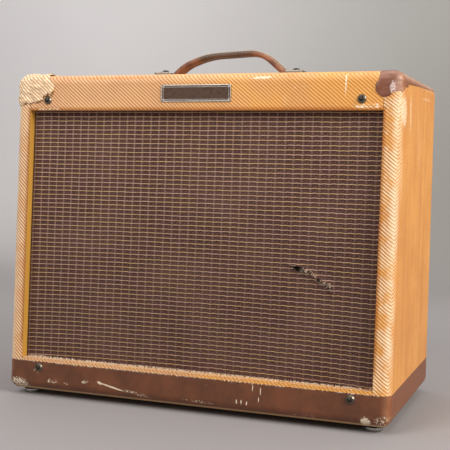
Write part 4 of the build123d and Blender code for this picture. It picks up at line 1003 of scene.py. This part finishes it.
def make_stitches():
    """Two rows of stitches along the strap's upper face."""
    strap = skin("handle_strap")
    low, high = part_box("handle_strap")
    middle = (low.y + high.y) / 2
    stitches = Parts()
    for y in (middle - STITCH_ROW, middle + STITCH_ROW):
        x = low.x + STITCH_FREE_END
        while x < high.x - STITCH_FREE_END:
            points = []
            for f in (0.0, 0.25, 0.5, 0.75, 1.0):
                start = Vector((x + f * STITCH, y, high.z + 20 * MM))
                where, normal, _, _ = strap.ray_cast(start, Vector((0, 0, -1)))
                if where is not None:
                    points.append(where + normal * (0.45 * math.sin(math.pi * f) - 0.1) * MM)
            if len(points) == 5:
                stitches.tube(points, STITCH_RADIUS)
            x += STITCH_PITCH
    stitches.piece("handle_stitches", THREAD, "handle")


make_stitches()


# ---------- plate border

RIM_LINES = ((0.7 * MM, 0.55 * MM), (2.9 * MM, 0.22 * MM))
RIM_STEPS = 24


def make_plate_rim():
    """Two raised lines round the name plate, each an inset from its edge and a radius."""
    low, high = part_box("name_plate")
    half = (high.x - low.x) / 2
    tall = (high.z - low.z) / 2 / math.cos(LEAN)
    rim = Parts()
    for inset, radius in RIM_LINES:
        w, h = half - inset, tall - inset
        corners = [(-w, -h), (w, -h), (w, h), (-w, h), (-w, -h)]
        for (ax, ay), (bx, by) in zip(corners, corners[1:]):
            shares = [k / RIM_STEPS for k in range(RIM_STEPS + 1)]
            line = [(ax + (bx - ax) * t, PLATE_UP + ay + (by - ay) * t) for t in shares]
            rim.tube([on_front(x, up, 0.85 * MM) for x, up in line], radius)
    rim.piece("plate_rim_lines", RIM)


make_plate_rim()


# ---------- panel scales

NUMERALS = 12
SWEEP = 300
TICK_FROM, TICK_TO = 17.0 * MM, 19.2 * MM
NUMERAL_AWAY = 22.4 * MM
NUMERAL_SIZE = 4.2 * MM
RULE_STEP = 2.4 * MM


def numeral(text):
    """The mesh of one thin numeral, centred on the origin."""
    curve = bpy.data.curves.new("numeral", "FONT")
    curve.body = text
    curve.size = NUMERAL_SIZE
    curve.align_x = "CENTER"
    curve.align_y = "CENTER"
    curve.extrude = 0.08 * MM
    holder = bpy.data.objects.new("numeral", curve)
    bpy.context.scene.collection.objects.link(holder)
    bpy.context.view_layer.update()
    mesh = bpy.data.meshes.new_from_object(holder.evaluated_get(bpy.context.evaluated_depsgraph_get()))
    bpy.data.objects.remove(holder)
    return mesh


def make_scales():
    """Ticks and plain numerals round each pointer knob, and a short rule beside each jack."""
    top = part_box("chassis")[1].z + 0.02 * MM
    marks = Parts()
    for knob in ("instrument_volume", "microphone_volume", "tone"):
        low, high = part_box(f"{knob}_shaft")
        centre = (low + high) / 2
        for number in range(NUMERALS):
            angle = math.radians(90 - SWEEP / 2 + number * SWEEP / (NUMERALS - 1))
            direction = Vector((math.cos(angle), math.sin(angle), 0))
            start, end = centre + direction * TICK_FROM, centre + direction * TICK_TO
            start.z = end.z = top
            marks.tube([start, start.lerp(end, 0.5), end], 0.22 * MM)
            mesh = numeral(str(number + 1))
            spot = centre + direction * NUMERAL_AWAY
            marks.put([Vector((spot.x - v.co.x, spot.y - v.co.y, top + v.co.z)) for v in mesh.vertices],
                      [list(p.vertices) for p in mesh.polygons])
    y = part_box("input_jacks")[1].y + 6 * MM
    for jack_low, jack_high in spans("input_jacks", 8 * MM):
        x = (jack_low + jack_high) / 2
        marks.tube([Vector((x + k * RULE_STEP, y, top)) for k in (-2, -1, 0, 1, 2)], 0.25 * MM)
    marks.piece("panel_scales", INK, smooth=False)


make_scales()


# ---------- valve electrodes


def make_electrodes():
    """The plates, support rods, getter cups and mica discs that show through the valve glass."""
    works = Parts()
    mica = Parts()
    for node, share in (("octal_valve_glass", 0.42), ("small_valve_glass", 0.50)):
        low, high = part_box(node)
        bottom = low.z + (high.z - low.z) * 0.28
        top = high.z - (high.z - low.z) * 0.14
        cup = low.z + 7 * MM
        for start, end in spans(node):
            radius = (end - start) / 2
            centre = Vector(((start + end) / 2, (low.y + high.y) / 2, 0))
            r = radius * share
            works.turned([(r * 0.9, bottom), (r, bottom + MM), (r, top - MM), (r * 0.9, top)], centre, 18)
            for side in (-1, 1):
                rod = centre + Vector((side * r * 1.25, 0, 0))
                works.tube([rod + Vector((0, 0, z)) for z in (bottom, (bottom + top) / 2, top)], 0.9 * MM, 8)
            for z in (bottom - 1.5 * MM, top + 1.0 * MM):
                disc = [(0.82, 0.0), (0.84, 0.2), (0.82, 0.4)]
                mica.turned([(radius * wide, z + up * MM) for wide, up in disc], centre)
            getter = [(0.5, 0.0), (0.7, 0.5), (0.7, 2.0), (0.5, 2.5)]
            works.turned([(r * wide, cup + up * MM) for wide, up in getter], centre, 16)
    works.piece("valve_electrodes", ELECTRODE)
    mica.piece("valve_micas", CAP_CARD)


make_electrodes()


# ---------- floor, light and camera

FLOOR_FRONT, FLOOR_BACK = -2.6, 1.2
FLOOR_HALF_WIDTH = 5.0
BACKDROP_BEND = 0.9
BACKDROP_HIGH = 4.0
BEND_STEPS = 24
FLOOR_STRIPS = 20

KEY = {"place": (-1.2, -2.2, 2.2), "aim": (0, 0, 0.2), "size": (1.6, 1.6), "power": 62}
SIDE = {"place": (2.2, -0.8, 1.6), "aim": (0.2, 0, 0.2), "size": (1.4, 1.4), "power": 76}
OVERHEAD = {"place": (0.0, 0.4, 2.6), "aim": (0, 0, 0.2), "size": (2.4, 2.0), "power": 30}
WORLD_STRENGTH = 0.42

CAMERA_PLACE = Vector((0.4582, -1.1856, 0.3056))
CAMERA_TURN = math.radians(19.93)
CAMERA_DIP = math.radians(3.55)
CAMERA_ROLL = math.radians(1.16)
CAMERA_LENS = 75.96
CAMERA_SHIFT = -0.0444


def make_floor():
    """A plain pale floor that curves up into a backdrop."""
    profile = [(FLOOR_FRONT, 0.0), (FLOOR_BACK, 0.0)]
    for k in range(1, BEND_STEPS + 1):
        a = math.pi / 2 * k / BEND_STEPS
        profile.append((FLOOR_BACK + BACKDROP_BEND * math.sin(a), BACKDROP_BEND * (1 - math.cos(a))))
    profile.append((FLOOR_BACK + BACKDROP_BEND, BACKDROP_HIGH))
    wide = FLOOR_STRIPS + 1
    across = [FLOOR_HALF_WIDTH * (2 * k / FLOOR_STRIPS - 1) for k in range(wide)]
    vertices = [(x, y, z) for y, z in profile for x in across]
    faces = []
    for r in range(len(profile) - 1):
        for c in range(FLOOR_STRIPS):
            i = r * wide + c
            faces.append([i, i + 1, i + 1 + wide, i + wide])
    new_mesh("studio_floor", vertices, faces, floor_paint("floor_paint"))


def area_light(name, place, aim, size, power, tint=(1, 1, 1)):
    data = bpy.data.lights.new(name, "AREA")
    data.shape = "RECTANGLE"
    data.size, data.size_y = size
    data.energy = power
    data.color = tint
    made = bpy.data.objects.new(name, data)
    made.location = place
    made.rotation_mode = "QUATERNION"
    made.rotation_quaternion = (Vector(aim) - Vector(place)).to_track_quat("-Z", "Y")
    bpy.context.scene.collection.objects.link(made)


def make_light():
    """Two large softboxes in front, one overhead, and an even pale room."""
    area_light("key_softbox", **KEY, tint=(1.0, 0.98, 0.95))
    area_light("side_softbox", **SIDE, tint=(1.0, 0.95, 0.88))
    area_light("overhead", **OVERHEAD)
    world = bpy.data.worlds.new("studio")
    world.use_nodes = True
    background = world.node_tree.nodes["Background"]
    background.inputs["Color"].default_value = srgb(232, 230, 228)
    background.inputs["Strength"].default_value = WORLD_STRENGTH
    bpy.context.scene.world = world
    bpy.context.scene.view_settings.view_transform = "Standard"


def make_camera():
    """The camera stands in front, to the right of the grille's middle, and looks slightly down."""
    ahead = Vector((-math.sin(CAMERA_TURN), math.cos(CAMERA_TURN), 0))
    right = Vector((math.cos(CAMERA_TURN), math.sin(CAMERA_TURN), 0))
    up = Vector((0, 0, 1))
    look = ahead * math.cos(CAMERA_DIP) - up * math.sin(CAMERA_DIP)
    over = ahead * math.sin(CAMERA_DIP) + up * math.cos(CAMERA_DIP)
    x_axis = right * math.cos(CAMERA_ROLL) + over * math.sin(CAMERA_ROLL)
    y_axis = -right * math.sin(CAMERA_ROLL) + over * math.cos(CAMERA_ROLL)
    data = bpy.data.cameras.new("camera")
    data.lens = CAMERA_LENS
    data.sensor_width = 36
    data.shift_x = CAMERA_SHIFT
    made = bpy.data.objects.new("camera", data)
    matrix = Matrix((x_axis, y_axis, -look)).transposed().to_4x4()
    matrix.translation = CAMERA_PLACE
    made.matrix_world = matrix
    bpy.context.scene.collection.objects.link(made)
    bpy.context.scene.camera = made


make_floor()
make_light()
make_camera()
bpy.context.view_layer.update()
